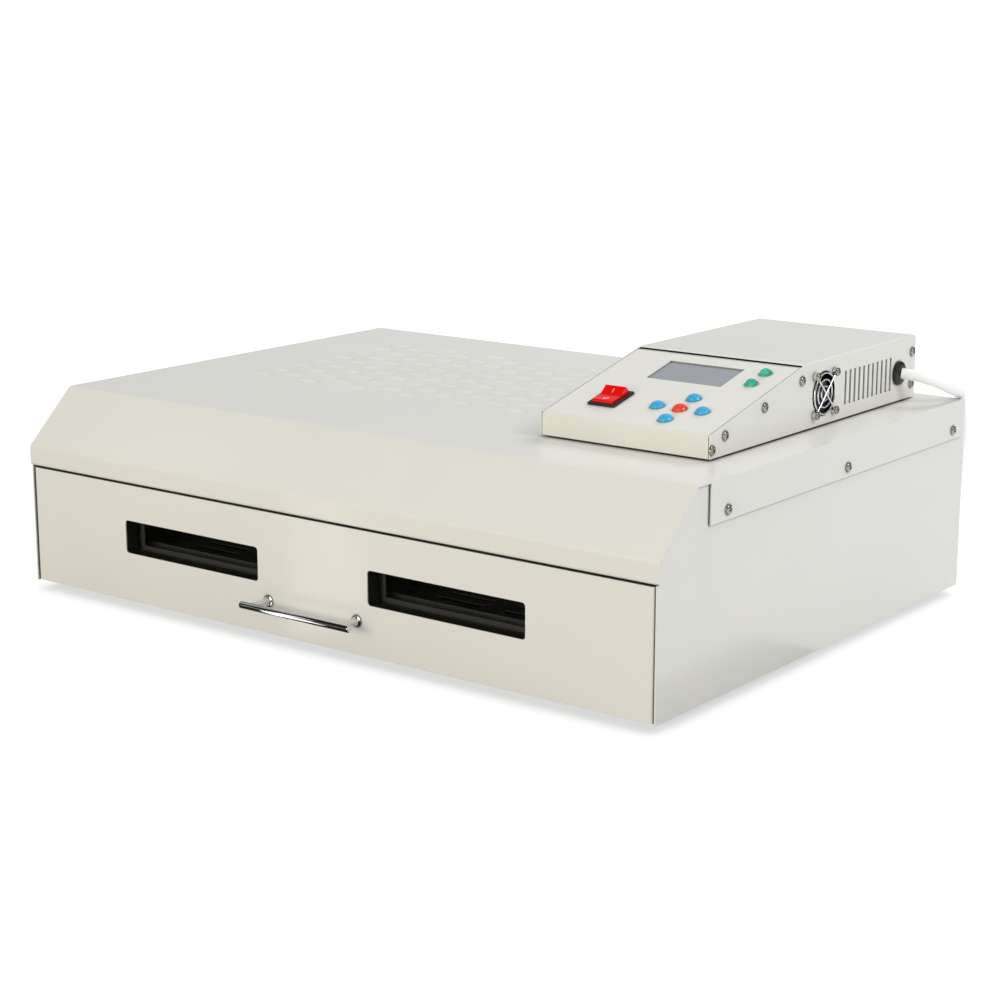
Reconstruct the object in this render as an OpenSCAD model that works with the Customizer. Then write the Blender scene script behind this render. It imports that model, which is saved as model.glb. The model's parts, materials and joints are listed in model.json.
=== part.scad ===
// Infrared reflow oven: a steel cabinet with a heated drawer under a row of quartz tubes, and a
// control box that stands on its roof. Millimetres. X is to the right, Y to the back and Z up.
// The origin lies on the bench under the middle of the oven, with its cord left out.

/* [Cabinet] */
// Width over the side flanges of the hood
cab_w = 670; // [660:1:720]
// Depth from the face of the drawer to the rear panel
cab_d = 488; // [480:1:520]
// Height of the cabinet above its lower edge
cab_h = 170; // [166:1:190]
// Thickness of the cabinet's steel sheet
sheet = 1.2; // [1:0.1:1.5]
// Outer bend radius of the steel sheet
bend_r = 3; // [2:0.5:4]
// Height of the rubber feet
foot_h = 8; // [6:0.5:12]
// Diameter of the rubber feet
foot_d = 20; // [16:1:26]
// Distance of the feet from the sides, front and back
foot_inset = 40; // [35:1:60]

/* [Hood] */
// Height of the upright lip above the drawer
lip_h = 17.5; // [14:0.5:22]
// Depth of the sloped front
slope_d = 49.5; // [40:0.5:60]
// Distance of the hood's rear edge from the rear panel's face
hood_short = 7; // [4:0.5:12]
// Height of the side flanges
flange_h = 33; // [28:1:40]
// Gap between the hood's side flanges and the cabinet's sides
flange_gap = 0.6; // [0.2:0.1:0.8]
// Distance of the side flanges from the front
flange_front = 67; // [62:1:90]
// Length of one louvre
louvre_l = 24; // [18:1:28]
// Depth of one louvre from its mouth to its heel
louvre_w = 7; // [5:0.5:9]
// Height of a louvre's mouth
louvre_h = 1.8; // [1.5:0.1:2.4]
// How far a louvre's ends lean in, up to the top of its mouth
louvre_taper = 4; // [2:0.5:6]
// Distance between neighbours in one row of louvres
louvre_pitch = 59; // [54:1:70]
// Distance between two rows of louvres
louvre_row = 14.6; // [12:0.2:18]
// Number of rows of louvres
louvre_rows = 15; // [5:2:15]
// Distance of the outer louvres from the left side
louvre_left = 99; // [85:1:120]
// Distance of the first row from the front
louvre_front = 196; // [180:1:215]

/* [Drawer] */
// Height of the drawer's front
front_h = 103.2; // [100:0.2:106]
// Thickness of the drawer's front
front_t = 20; // [18:0.5:22]
// Gap around the drawer's front
front_gap = 1.2; // [0.8:0.1:2]
// Width of one window
win_w = 156; // [140:1:170]
// Height of one window
win_h = 29; // [24:1:34]
// Height of the windows' centres above the cabinet's lower edge
win_z = 58.2; // [56:0.2:64]
// Distance between the centres of the windows
win_pitch = 275; // [250:1:300]
// Corner radius of a window
win_r = 3; // [2:0.5:5]
// Distance from the face to the glass
win_deep = 14; // [12:0.5:15]
// Thickness of the glass
glass_t = 4; // [3:0.5:4.5]
// Gap between the drawer's back rail and the chamber's rear wall
rail_back = 8.8; // [7:0.2:30]
// Height of the tray's rim
tray_rim = 8; // [5:1:12]
// Thickness of the tray's sheet
tray_t = 1; // [0.8:0.1:1.5]
// Length of one slot of the tray
tray_slot_l = 45; // [35:1:50]
// Width of one slot of the tray
tray_slot_w = 6; // [4:0.5:8]
// Distance between the slots of a row
tray_pitch_x = 68; // [62:1:80]
// Distance between the rows of slots
tray_pitch_y = 16; // [14:0.5:24]

/* [Handle] */
// Distance between the handle's posts
handle_pitch = 96; // [80:1:128]
// Length of the handle's bar
handle_l = 118; // [110:1:150]
// Diameter of the handle's bar
handle_bar_d = 6; // [5:0.5:8]
// Diameter of the posts
handle_post_d = 5.5; // [4.5:0.5:7]
// Diameter of the posts' feet
handle_foot_d = 10; // [9:0.5:14]
// Distance from the drawer's face to the bar's middle
handle_reach = 21.5; // [19:0.5:26]
// Height of the handle above the cabinet's lower edge
handle_z = 29; // [24:1:32]

/* [Heater] */
// Number of quartz tubes
tube_count = 8; // [4:1:8]
// Diameter of a quartz tube
tube_d = 10; // [8:0.5:12]
// Distance between two tubes
tube_pitch = 50; // [44:1:54]
// Diameter of a ceramic tube end
holder_d = 16; // [14:0.5:18]
// Height of the tubes above the cabinet's lower edge
tube_z = 118; // [116:0.5:121]
// Thickness of the insulation above the reflector
wool_t = 16; // [10:1:18]

/* [Runners] */
// Distance of the runners' rear ends from the chamber's rear wall
slide_back = 20; // [14:1:30]
// Height of a runner
slide_h = 35; // [34:0.5:37]
// Width of a runner
slide_w = 12.7; // [12.5:0.1:13.5]
// Height of the runners' centres above the cabinet's lower edge
slide_z = 36; // [34:0.5:38]
// Number of balls in each leg of a ball cage
ball_count = 6; // [4:1:10]

/* [Control box] */
// Width of the control box
box_w = 160; // [155:0.5:168]
// Depth of the control box
box_d = 335; // [325:1:345]
// Height of the control box above the cabinet
box_h = 55.5; // [52:0.5:60]
// Height of its front lip above the cabinet
box_lip = 20; // [18:0.5:24]
// Depth of its sloped panel, seen from above
box_slope_d = 145.5; // [144:0.5:150]
// Distance of the box from the cabinet's right side
box_right = 38.5; // [32:0.5:50]
// Distance of the box from the cabinet's front
box_front = 126; // [118:1:132]
// Gap between the box and the cabinet
box_gap = 1.5; // [1:0.1:3]
// Gap under the front edge of the box's top
box_joint = 1.4; // [0.4:0.1:1.6]
// Gap between the box's sloped panel and its sides
side_joint = 0.5; // [0.2:0.1:0.6]
// Width of the display window
lcd_w = 71; // [60:1:74]
// Height of the display window
lcd_h = 38; // [30:1:40]
// Display window's centre from the panel's left edge
lcd_u = 80.5; // [77:0.5:83]
// Display window's centre up the panel from its lower bend
lcd_s = 106; // [104:0.5:108]
// Diameter of a key
key_d = 12; // [10:0.5:14]
// Distance between the keys
key_pitch = 21; // [19:0.5:22]
// Middle key's centre from the panel's left edge
key_u = 108.5; // [106:0.5:110.5]
// Middle key's centre up the panel
key_s = 38; // [36:0.5:40]
// How far a key travels
key_travel = 1; // [0.5:0.1:1]
// Diameter of a pilot lamp
lamp_d = 10; // [8:0.5:11]
// Distance between the two lamps
lamp_pitch = 22.5; // [20:0.5:25]
// Lamps' distance from the panel's left edge
lamp_u = 137.5; // [136:0.5:140.5]
// Lower lamp's centre up the panel
lamp_s = 99; // [97:0.5:101]
// Width of the power switch's rim
rocker_w = 25.5; // [24:0.5:28]
// Height of the power switch's rim
rocker_h = 30; // [28:0.5:32]
// Switch's centre from the panel's left edge
rocker_u = 42; // [38:0.5:44]
// Switch's centre up the panel
rocker_s = 39.5; // [38:0.5:42]
// Tilt of the switch's paddle to either side
rocker_a = 11; // [8:0.5:12]

/* [Ventilation] */
// Width of the box's fan
fan_size = 40; // [38:1:40]
// Thickness of the box's fan
fan_t = 20; // [15:1:25]
// Distance of the fan's centre from the cabinet's front
fan_y = 300; // [294:1:306]
// Number of vent slots in the box's right side
vent_count = 11; // [5:1:11]
// Distance between two vent slots
vent_pitch = 7.9; // [7:0.1:7.9]
// Width of a vent slot
vent_w = 3; // [2:0.2:4]
// Height of a vent slot
vent_h = 28.5; // [22:0.5:30]
// Distance of the first vent slot from the cabinet's front
vent_y = 336.5; // [332:0.5:340]
// Width of the rear fan
rear_fan_size = 60; // [50:1:64]
// Thickness of the rear fan
rear_fan_t = 25; // [20:1:25]
// Height of the rear fan's centre
rear_fan_z = 84; // [76:1:90]

/* [Cord] */
// Diameter of the mains cord
cord_d = 9.5; // [9:0.1:10]
// Distance of the strain relief from the control box's rear end
relief_end = 31; // [29:0.5:33]
// Height of the strain relief above the cabinet
relief_h = 26; // [25:0.5:27]
// Diameter of the strain relief's flange
relief_d = 20.6; // [18:0.2:24]

/* [Hidden] */
$fn = 48;
eps = 0.02;
run_gap = 0.3;
fit_gap = 0.15;

// Colours
ivory = [0.86, 0.85, 0.80];
steel = [0.70, 0.71, 0.72];
bright = [0.80, 0.81, 0.82];
black = [0.08, 0.08, 0.09];
chrome = [0.88, 0.88, 0.90];

// Cabinet: half widths of its layers from the outside in
flange_x = cab_w / 2;
side_x = flange_x - sheet - flange_gap;
inner_x = side_x - sheet;
front_z0 = 1;
hood_z = front_z0 + front_h + front_gap;
lip_z = hood_z + lip_h;
slope_a = atan2(cab_h - lip_z, slope_d);
hood_end = cab_d - hood_short;
lip_return = 14;
rear_in = cab_d - sheet;
pan_y = front_t + 2;
pan_flange = 14;

// Heating chamber
chamber_x = flange_x - 24;
mouth_y = front_t + 2;
chamber_end = cab_d - 40;
liner_top = tube_z + 15;
reflector_t = 1;
tube_y0 = pan_y + 38;
tube_half = chamber_x - 6;
holder_l = 17;
holder_gap = 0.3;

// Runners: their layers from the chamber's wall inwards
member_t = 1.2;
cage_t = 0.8;
slide_y = pan_y + 6;
slide_l = chamber_end - slide_back - slide_y;
middle_x = chamber_x - member_t - cage_t - 2 * run_gap;
inner_tip_x = middle_x - member_t - cage_t - 2 * run_gap;
ball_gap = 2.7;
outer_in = slide_h / 2 - member_t;
middle_out = outer_in - ball_gap;
middle_in = middle_out - member_t;
inner_out = middle_in - ball_gap;
cage_l = slide_l / 2;
cage_y = slide_y + slide_l / 4;

// Drawer
front_x = inner_x - front_gap;
inner_sheet = 1;
glass_y = win_deep;
rail_t = 1.2;
rail_x = chamber_x - slide_w;
rail_y = front_t;
rail_l = chamber_end - rail_back - rail_t - rail_y;
tray_d = rail_l - 18;
ledge_w = 12;
tray_z = slide_z + 3;
tray_y = front_t + 12;
tray_x = rail_x - rail_t - 1;
rail_z0 = slide_z - slide_h / 2 + 1;
rail_z1 = tray_z + 8;

// Control box
box_x1 = flange_x - box_right;
box_x0 = box_x1 - box_w;
box_z0 = cab_h + box_gap;
box_z1 = cab_h + box_h;
box_lip_z = cab_h + box_lip;
box_end = box_front + box_d;
relief_y = box_end - relief_end;
panel_a = atan2(box_h - box_lip, box_slope_d);
box_top_y = box_front + box_slope_d;
box_in_x0 = box_x0 + sheet;
box_in_x1 = box_x1 - sheet;
key_body_n = -10;
rocker_pivot_n = -1;
fan_z = cab_h + 27.3;
board_w = 0.611 * box_w;
board_l = 0.433 * box_d;
board_t = 1.6;
board_x = box_x0 + 12;
board_y = box_end - 20 - board_l;
board_z = box_z0 + 10.6;
panel_foot = 22;

// Louvres: the rows end before the control box
louvre_x0 = louvre_left - flange_x;
louvre_x_end = box_x0 - louvre_l / 2 - 4;

// Guards
wire_d = 1.6;
guard_h = 1.5 * wire_d + 0.5;
fan_hole_pitch = fan_size * 0.8;
rear_hole_pitch = rear_fan_size * 0.833;
m4_head_d = 8;
m4_head_h = 2.6;
m3_head_d = 7.8;
m3_head_h = 2.4;
side_screw_l = 5;

// Origin: on the bench, halfway between the handle's bar and the rear fan's screws
front_end = -handle_reach - handle_bar_d / 2;
rear_end = cab_d + guard_h + m3_head_h;
mid_y = (front_end + rear_end) / 2;

// Cord: out of the strain relief, over the rear edge, down to the bench, and a tail to the plug.
// The points of each stretch are measured from the corner that it keeps to.
floor_z = -foot_h;
lead_out = [
  [3.5, 0, 0], [15, 4, -1], [24.5, 10, -4.5], [31.5, 18.5, -8.5], [35.5, 29, -14], [36.5, 41, -18]
];
lead_over = [
  [-4.5, -5, 5.5], [-9, 4, 3], [-13.5, 13.5, -2.5], [-16.5, 21.5, -10.5], [-18.5, 27.5, -22],
  [-18, 30, -35], [-18.5, 28, -51], [-19, 27.5, -70]
];
lead_down = [
  [-19, 27, 89], [-20, 26.5, 72], [-21.5, 26, 56.5], [-24, 25.5, 41], [-30, 24.5, 27],
  [-41, 24.3, 14.5], [-55, 24.3, 7], [-71, 24.3, 4.8], [-90, 24.3, 4.8], [-109, 24.3, 4.8]
];
lead_tail = [[-151, 24.3, 14.3], [-162, 24.3, 16.5], [-173, 24.3, 18.5], [-184, 24.3, 18.5]];
route = concat(
  [for (p = lead_out) p + [box_x1, relief_y, cab_h + relief_h]],
  [for (p = lead_over) p + [flange_x, cab_d, cab_h]],
  [for (p = lead_down) p + [flange_x, cab_d, floor_z]]
);
tail = [for (p = lead_tail) p + [flange_x, cab_d, floor_z]];
coil_r = 55;
plug_x = tail[3][0];
plug_y = tail[3][1];
coil_x = plug_x + 54;
coil_y = plug_y + coil_r + cord_d;
plug_d = 37;

// Shared shapes
function rot2(v, a) = [v[0] * cos(a) - v[1] * sin(a), v[0] * sin(a) + v[1] * cos(a)];
function left(v) = [-v[1], v[0]];
function unit(v) = v / norm(v);

// Points of one bend of a sheet, at distance d from the bend's centre. All bends of a profile
// turn to the side that turn names (1 is left), and the sheet's thickness lies on that side.
function bend_points(a, b, c, r, d, turn, n) =
  let (u = unit(b - a), v = unit(c - b), t = acos(max(-1, min(1, u * v))))
  let (centre = b - u * r * tan(t / 2) + turn * left(u) * r)
  [for (k = [0:n]) centre - turn * left(rot2(u, turn * t * k / n)) * d];

// Outline of a bent sheet whose outer face follows the points p
function bent(p, r, t, turn = 1, n = 4) =
  let (e = len(p) - 1, u = unit(p[1] - p[0]), v = unit(p[e] - p[e - 1]))
  let (outer = [for (i = [1:e - 1]) each bend_points(p[i - 1], p[i], p[i + 1], r, r, turn, n)])
  let (inner = [for (i = [1:e - 1]) each bend_points(p[i - 1], p[i], p[i + 1], r, r - t, turn, n)])
  concat([p[0]], outer, [p[e], p[e] + turn * left(v) * t],
    [for (i = [len(inner) - 1:-1:0]) inner[i]], [p[0] + turn * left(u) * t]);

module place() {
  translate([0, -mid_y, foot_h]) children();
}

// Extrudes a profile drawn in Y and Z along X, from x0 over the length l
module along_x(x0, l) {
  translate([x0, 0, 0]) rotate([90, 0, 90]) linear_extrude(l) children();
}

// Extrudes a profile drawn in X and Z along Y, from y0 over the length l
module along_y(y0, l) {
  translate([0, y0 + l, 0]) rotate([90, 0, 0]) linear_extrude(l) children();
}

module box_between(a, b) {
  translate(a) cube(b - a);
}

module mirrored_x() {
  children();
  mirror([1, 0, 0]) children();
}

// Round bar along X between x0 and x1
module bar_x(x0, x1, d) {
  translate([x0, 0, 0]) rotate([0, 90, 0]) cylinder(h = x1 - x0, d = d);
}

// Pan head screw with a cross recess. It seats at z = 0 with its head upwards.
module pan_screw(head_d, head_h, shank_d, shank_l) {
  difference() {
    union() {
      rotate_extrude() polygon([
        [0, 0], [head_d / 2, 0], [head_d / 2, head_h * 0.45],
        for (k = [1:5]) [head_d / 2 * cos(k * 18), head_h * (0.45 + 0.55 * sin(k * 18))]
      ]);
      translate([0, 0, -shank_l]) cylinder(h = shank_l + eps, d = shank_d);
    }
    for (a = [0, 90]) rotate([0, 0, a + 20])
      translate([-head_d * 0.28, -head_d * 0.06, head_h * 0.45])
        cube([head_d * 0.56, head_d * 0.12, head_h]);
  }
}

// Square fan housing along Z, with its mouth at the top
module fan_housing(size, t, hole_pitch, hub_d) {
  bore = size * 0.94;
  strut = size * 0.06;
  first_strut = 38;
  difference() {
    translate([-size / 2, -size / 2, 0]) cube([size, size, t]);
    translate([0, 0, -1]) cylinder(h = t + 2, d = bore);
    for (x = [-1, 1], y = [-1, 1]) translate([x * hole_pitch / 2, y * hole_pitch / 2, -1])
      cylinder(h = t + 2, d = 3.4);
  }
  difference() {
    union() {
      cylinder(h = strut, d = hub_d);
      for (k = [0:3]) rotate([0, 0, first_strut + k * 90])
        translate([0, -strut / 2, 0]) cube([bore / 2 + 0.8, strut, strut]);
      cylinder(h = t * 0.55, d = 6);
    }
    translate([0, 0, strut]) cylinder(h = t, d = 3 + 0.1);
  }
}

// Fan impeller that runs on the housing's bearing
module fan_impeller(size, t, hub_d) {
  base = size * 0.06 + run_gap;
  tip_r = size * 0.47 - 0.5;
  hub_h = t - base - 1;
  difference() {
    translate([0, 0, base]) cylinder(h = hub_h, d = hub_d);
    translate([0, 0, base - 1]) cylinder(h = hub_h - 1, d = hub_d - 2.4);
  }
  translate([0, 0, size * 0.06 + 0.1]) cylinder(h = hub_h - 0.2, d = 3);
  for (k = [0:6]) rotate([0, 0, k * 360 / 7]) intersection() {
    difference() {
      translate([0, 0, base + 0.5]) cylinder(h = hub_h - 1, r = tip_r);
      translate([0, 0, base - 1]) cylinder(h = t, d = hub_d - 0.6);
    }
    translate([0, 0, base + hub_h / 2]) rotate([48, 0, 0])
      translate([0, -size / 2, -0.5]) cube([size, size, 1]);
  }
}

// Wire guard of a fan on the plane z = 0: rings, two crossed bars and four eyes
module wire_guard(size, hole_pitch, rings) {
  for (r = rings) rotate_extrude() translate([r, wire_d / 2]) circle(d = wire_d, $fn = 16);
  difference() {
    union() {
      for (a = [45, 135]) rotate([0, 0, a]) translate([0, 0, guard_h - wire_d / 2])
        bar_x(-hole_pitch * 0.707, hole_pitch * 0.707, wire_d);
      for (x = [-1, 1], y = [-1, 1]) translate([x * hole_pitch / 2, y * hole_pitch / 2, 0])
        cylinder(h = guard_h, d = 6.4);
    }
    at_corners(hole_pitch) translate([0, 0, -1]) cylinder(h = guard_h + 2, d = 3.4);
  }
}

module at_corners(pitch) {
  for (x = [-1, 1], y = [-1, 1]) translate([x * pitch / 2, y * pitch / 2, 0]) children();
}

module box_fan_frame() {
  translate([box_in_x1 - fan_t, fan_y, fan_z]) rotate([0, 90, 0]) children();
}

module box_fan_face() {
  translate([box_x1, fan_y, fan_z]) rotate([0, 90, 0]) children();
}

module rear_fan_frame() {
  translate([0, rear_in - rear_fan_t, rear_fan_z]) rotate([-90, 0, 0]) children();
}

module rear_fan_face() {
  translate([0, cab_d, rear_fan_z]) rotate([-90, 0, 0]) children();
}

// Places its children on the sloped panel: u across, s up the slope and n out of its face
module on_panel(u, s, n = 0) {
  translate([box_x0 + u, box_front, box_lip_z]) rotate([panel_a, 0, 0])
    translate([0, s, n]) children();
}

// Screws

module at_hood_screws() {
  for (y = [flange_front + 24, (flange_front + hood_end) / 2, hood_end - 19])
    translate([flange_x, y, cab_h - flange_h + 8]) rotate([0, 90, 0]) children();
}

module at_rear_screws() {
  for (x = [-1, 1], z = [20, 85, 150]) translate([x * (inner_x - 7), cab_d, z * cab_h / 170])
    rotate([-90, 0, 0]) children();
}

// Screws of one side of the control box: a row along the slope from the first on, whose own one
// through the lip only the right side has, and the rear pair
module at_box_side_screws(first) {
  row = [[2.2, -12.3], [21, -8.4], [79.5, -9.6], [137.6, -11]];
  for (k = [first:3])
    translate([0, box_front + row[k][0], box_lip_z + row[k][0] * tan(panel_a) + row[k][1]])
      rotate([0, 90, 0]) children();
  for (z = [13.5, box_h - 14]) translate([0, box_end - 6.5, cab_h + z])
    rotate([0, 90, 0]) children();
}

// Holes for the screws of both sides of the box, to the depth d
module box_screw_holes(d) {
  at_both_box_sides() translate([0, 0, -d]) cylinder(h = d + 1, d = 3.2);
}

module at_both_box_sides() {
  translate([box_x1, 0, 0]) at_box_side_screws(0) children();
  translate([box_x0, 0, 0]) mirror([1, 0, 0]) at_box_side_screws(1) children();
}

module hood_screws() {
  color(chrome) place() mirrored_x() at_hood_screws() pan_screw(m4_head_d, m4_head_h, 3.9, 5);
}

module rear_screws() {
  color(chrome) place() {
    at_rear_screws() pan_screw(m3_head_d, m3_head_h, 2.9, 5);
    rear_fan_face() at_corners(rear_hole_pitch) translate([0, 0, guard_h])
      pan_screw(m3_head_d, m3_head_h, 2.9, 12);
  }
}

module box_screws() {
  color(chrome) place() {
    at_both_box_sides() pan_screw(m3_head_d, m3_head_h, 2.9, side_screw_l);
    box_fan_face() at_corners(fan_hole_pitch) translate([0, 0, guard_h])
      pan_screw(m3_head_d - 0.8, m3_head_h, 2.9, 12);
  }
}

// Cabinet

module base_pan() {
  w = inner_x - 0.2;
  color(steel) place() difference() {
    along_y(pan_y, rear_in - pan_y) polygon(bent([
      [-w, pan_flange], [-w, 0], [w, 0], [w, pan_flange]
    ], bend_r, sheet));
    at_feet() translate([0, 0, -1]) cylinder(h = sheet + 2, d = 4.4);
  }
}

module at_feet() {
  for (x = [-1, 1], y = [foot_inset, cab_d - foot_inset])
    translate([x * (flange_x - foot_inset), y, 0]) children();
}

module feet() {
  color(black) place() at_feet() {
    rotate_extrude() polygon([
      [4.5, -foot_h], [foot_d / 2 - 2, -foot_h], [foot_d / 2 - 1, -foot_h + 1],
      [foot_d / 2, 0], [2.2, 0], [2.2, -foot_h / 2], [4.5, -foot_h / 2]
    ]);
  }
}

// Outline of a cabinet side: it ends under the hood's sheet and runs to the drawer's face
module side_panel() {
  u = sheet + 0.1;
  drop = u / cos(slope_a);
  top = cab_h - u;
  notch_z = lip_z + u * tan(slope_a) - drop;
  slope_y = (top - lip_z + drop) / tan(slope_a);
  difference() {
    union() {
      along_x(inner_x, sheet) polygon([
        [0, 0], [cab_d, 0], [cab_d, top], [slope_y, top], [u, notch_z], [u, hood_z], [0, hood_z]
      ]);
      box_between([inner_x - 14, rear_in - sheet, pan_flange + fit_gap],
        [inner_x + eps, rear_in, top - bend_r]);
    }
    at_hood_screws() translate([0, 0, -sheet * 3]) cylinder(h = sheet * 4, d = 4.2);
    at_rear_screws() translate([0, 0, -sheet * 3]) cylinder(h = sheet * 4, d = 3.2);
  }
}

module side_panel_left() {
  color(ivory) place() mirror([1, 0, 0]) side_panel();
}

module side_panel_right() {
  color(ivory) place() side_panel();
}

function louvre_xs(row) =
  let (x0 = louvre_x0 + (row % 2) * louvre_pitch / 2)
  [for (k = [0:12]) if (x0 + k * louvre_pitch < louvre_x_end) x0 + k * louvre_pitch];

// Places its children at the mouth of each louvre
module at_louvres() {
  for (row = [0:louvre_rows - 1]) for (x = louvre_xs(row))
    translate([x, louvre_front + row * louvre_row, cab_h]) children();
}

// One louvre, or its hollow where it lies a wall inside: full height at its mouth, which reaches
// past it by out, and down to nothing at its heel and towards its ends
module louvre(wall, out, z0) {
  h = louvre_h - wall;
  heel = -louvre_w * h / louvre_h;
  half = louvre_l / 2 - wall * louvre_taper / louvre_h;
  top = half - louvre_taper * h / louvre_h;
  intersection() {
    along_x(-half, 2 * half) polygon(concat(out > 0 ? [[0, 0], [out, 0], [out, h]] : [],
      [[0, h], [heel, 0], [heel, z0], [0, z0]]));
    along_y(heel, out - heel) polygon([[-half, z0], [-half, 0], [-top, h], [top, h],
      [half, 0], [half, z0]]);
  }
}

// One sheet: the lip above the drawer, the slope, the louvred roof, and two side flanges
module hood() {
  skin = 0.6;
  color(ivory) place() difference() {
    union() {
      along_x(-flange_x, cab_w) polygon(bent([
        [lip_return, hood_z], [0, hood_z], [0, lip_z], [slope_d, cab_h], [hood_end, cab_h]
      ], bend_r, sheet, -1));
      mirrored_x() box_between([flange_x - sheet, flange_front, cab_h - flange_h],
        [flange_x, hood_end, cab_h - sheet / 2]);
      at_louvres() louvre(0, 0, -sheet / 2);
    }
    at_louvres() louvre(skin, 0.5, -sheet - 1);
    mirrored_x() at_hood_screws() translate([0, 0, -sheet * 2]) cylinder(h = sheet * 3, d = 4.2);
    mirrored_x() box_between([inner_x - 0.1, sheet + 0.1, hood_z - 1],
      [flange_x + 1, lip_return + 1, hood_z + sheet + 0.1]);
  }
}

module rear_panel() {
  w = inner_x - 0.2;
  top = cab_h - sheet - 0.1;
  color(ivory) place() difference() {
    along_x(-w, 2 * w) polygon(bent([
      [cab_d, 0], [cab_d, top], [hood_end - 14, top]
    ], bend_r, sheet));
    rear_fan_face() translate([0, 0, -2 * sheet]) cylinder(h = sheet * 3, d = rear_fan_size * 0.94);
    rear_fan_face() at_corners(rear_hole_pitch) translate([0, 0, -2 * sheet])
      cylinder(h = sheet * 3, d = 3.4);
    at_rear_screws() translate([0, 0, -sheet * 2]) cylinder(h = sheet * 3, d = 3.2);
  }
}

// Heating chamber

module at_tubes() {
  for (k = [0:tube_count - 1]) translate([0, tube_y0 + k * tube_pitch, tube_z]) children();
}

// Chamber wall with its front return and the holes of the tube ends
module liner_side() {
  color(steel) place() difference() {
    along_z(sheet, liner_top - sheet) polygon(bent([
      [inner_x - 0.2 - bend_r, mouth_y], [chamber_x, mouth_y], [chamber_x, chamber_end]
    ], 2, 1, -1));
    at_tubes() bar_x(chamber_x - 5, chamber_x + 5, holder_d + 2 * holder_gap);
  }
}

module along_z(z0, l) {
  translate([0, 0, z0]) linear_extrude(l) children();
}

module liner_left() {
  mirror([1, 0, 0]) liner_side();
}

module liner_right() {
  liner_side();
}

module liner_rear() {
  color(steel) place() difference() {
    box_between([-chamber_x - 1, chamber_end, sheet], [chamber_x + 1, chamber_end + 1, liner_top]);
    translate([0, chamber_end - 1, rear_fan_z]) rotate([-90, 0, 0])
      cylinder(h = 3, d = rear_fan_size * 0.94);
    at_thermocouples() rotate([-90, 0, 0]) translate([0, 0, -2]) cylinder(h = 6, d = 3.4);
  }
}

// Ceiling of the chamber, with a front flange above the drawer's mouth
module reflector() {
  color(bright) place() along_x(-chamber_x, 2 * chamber_x) polygon(bent([
    [mouth_y + 1.2, hood_z], [mouth_y + 1.2, liner_top + reflector_t],
    [chamber_end, liner_top + reflector_t]
  ], 2, reflector_t, -1));
}

module insulation() {
  z0 = liner_top + reflector_t;
  slope_y = slope_d * (z0 + wool_t + 2 * sheet - lip_z) / (cab_h - lip_z);
  color([0.9, 0.88, 0.82]) place() {
    box_between([-chamber_x + 4, max(mouth_y + 6, slope_y), z0],
      [chamber_x - 4, chamber_end, z0 + wool_t]);
    mirrored_x() box_between([chamber_x + 1, mouth_y + 2, pan_flange + 2],
      [inner_x - 0.5, chamber_end - 20, tube_z - holder_d / 2 - 2]);
  }
}

module ir_tubes() {
  color([0.93, 0.90, 0.86, 0.6]) place() at_tubes() bar_x(-tube_half, tube_half, tube_d);
}

// Ceramic ends: each closes a quartz tube and sits in the chamber's wall
module tube_holders() {
  color([0.95, 0.94, 0.90]) place() mirrored_x() at_tubes() difference() {
    bar_x(tube_half - 8, tube_half - 8 + holder_l + 8, holder_d);
    bar_x(tube_half - 9, tube_half + fit_gap, tube_d + 2 * fit_gap);
  }
}

module at_thermocouples() {
  for (x = [-80, 80]) translate([x, chamber_end, tube_z - 18]) children();
}

module thermocouples() {
  color(bright) place() at_thermocouples() rotate([-90, 0, 0]) {
    translate([0, 0, -44]) cylinder(h = 56, d = 3);
    translate([0, 0, 1]) cylinder(h = 5, d = 8, $fn = 6);
  }
}

// Runners. Each profile is a channel in X and Z about the runner's middle height.

module runner(profile, y0, l) {
  color(steel) place() mirrored_x() translate([0, 0, slide_z]) along_y(y0, l) polygon(profile);
}

module slide_outer() {
  h = slide_h / 2;
  tip = chamber_x - slide_w + 1.8;
  runner(bent([[tip, -h], [chamber_x, -h], [chamber_x, h], [tip, h]], 2, member_t),
    slide_y, slide_l);
}

module slide_middle() {
  tip = chamber_x - slide_w + 1.5;
  runner(bent([
    [tip, -middle_out], [middle_x, -middle_out], [middle_x, middle_out], [tip, middle_out]
  ], 2, member_t), slide_y, slide_l);
}

module slide_inner() {
  x = rail_x;
  runner(bent([
    [inner_tip_x, inner_out], [x, inner_out], [x, -inner_out], [inner_tip_x, -inner_out]
  ], 2, member_t), slide_y, slide_l);
}

// Ball cage: a strip behind the member's web, two legs and the balls that they hold
module ball_cage(web_x, tip_x, leg_z, leg_t) {
  ball_d = ball_gap - 0.3;
  ball_x = (web_x + tip_x) / 2 - 1;
  color(bright) place() mirrored_x() translate([0, 0, slide_z]) {
    box_between([web_x - cage_t, cage_y, -leg_z - leg_t / 2],
      [web_x, cage_y + cage_l, leg_z + leg_t / 2]);
    for (s = [-1, 1]) {
      box_between([tip_x, cage_y, s * leg_z - leg_t / 2],
        [web_x - eps, cage_y + cage_l, s * leg_z + leg_t / 2]);
      for (k = [0:ball_count - 1])
        translate([ball_x, cage_y + cage_l * (k + 0.5) / ball_count, s * leg_z])
          sphere(d = ball_d, $fn = 24);
    }
  }
}

module outer_cage() {
  ball_cage(chamber_x - member_t - run_gap, chamber_x - slide_w + 2.4,
    outer_in - ball_gap / 2, 1.1);
}

module inner_cage() {
  ball_cage(middle_x - member_t - run_gap, chamber_x - slide_w + 2.4,
    middle_in - ball_gap / 2, 1.1);
}

// Drawer

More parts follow.
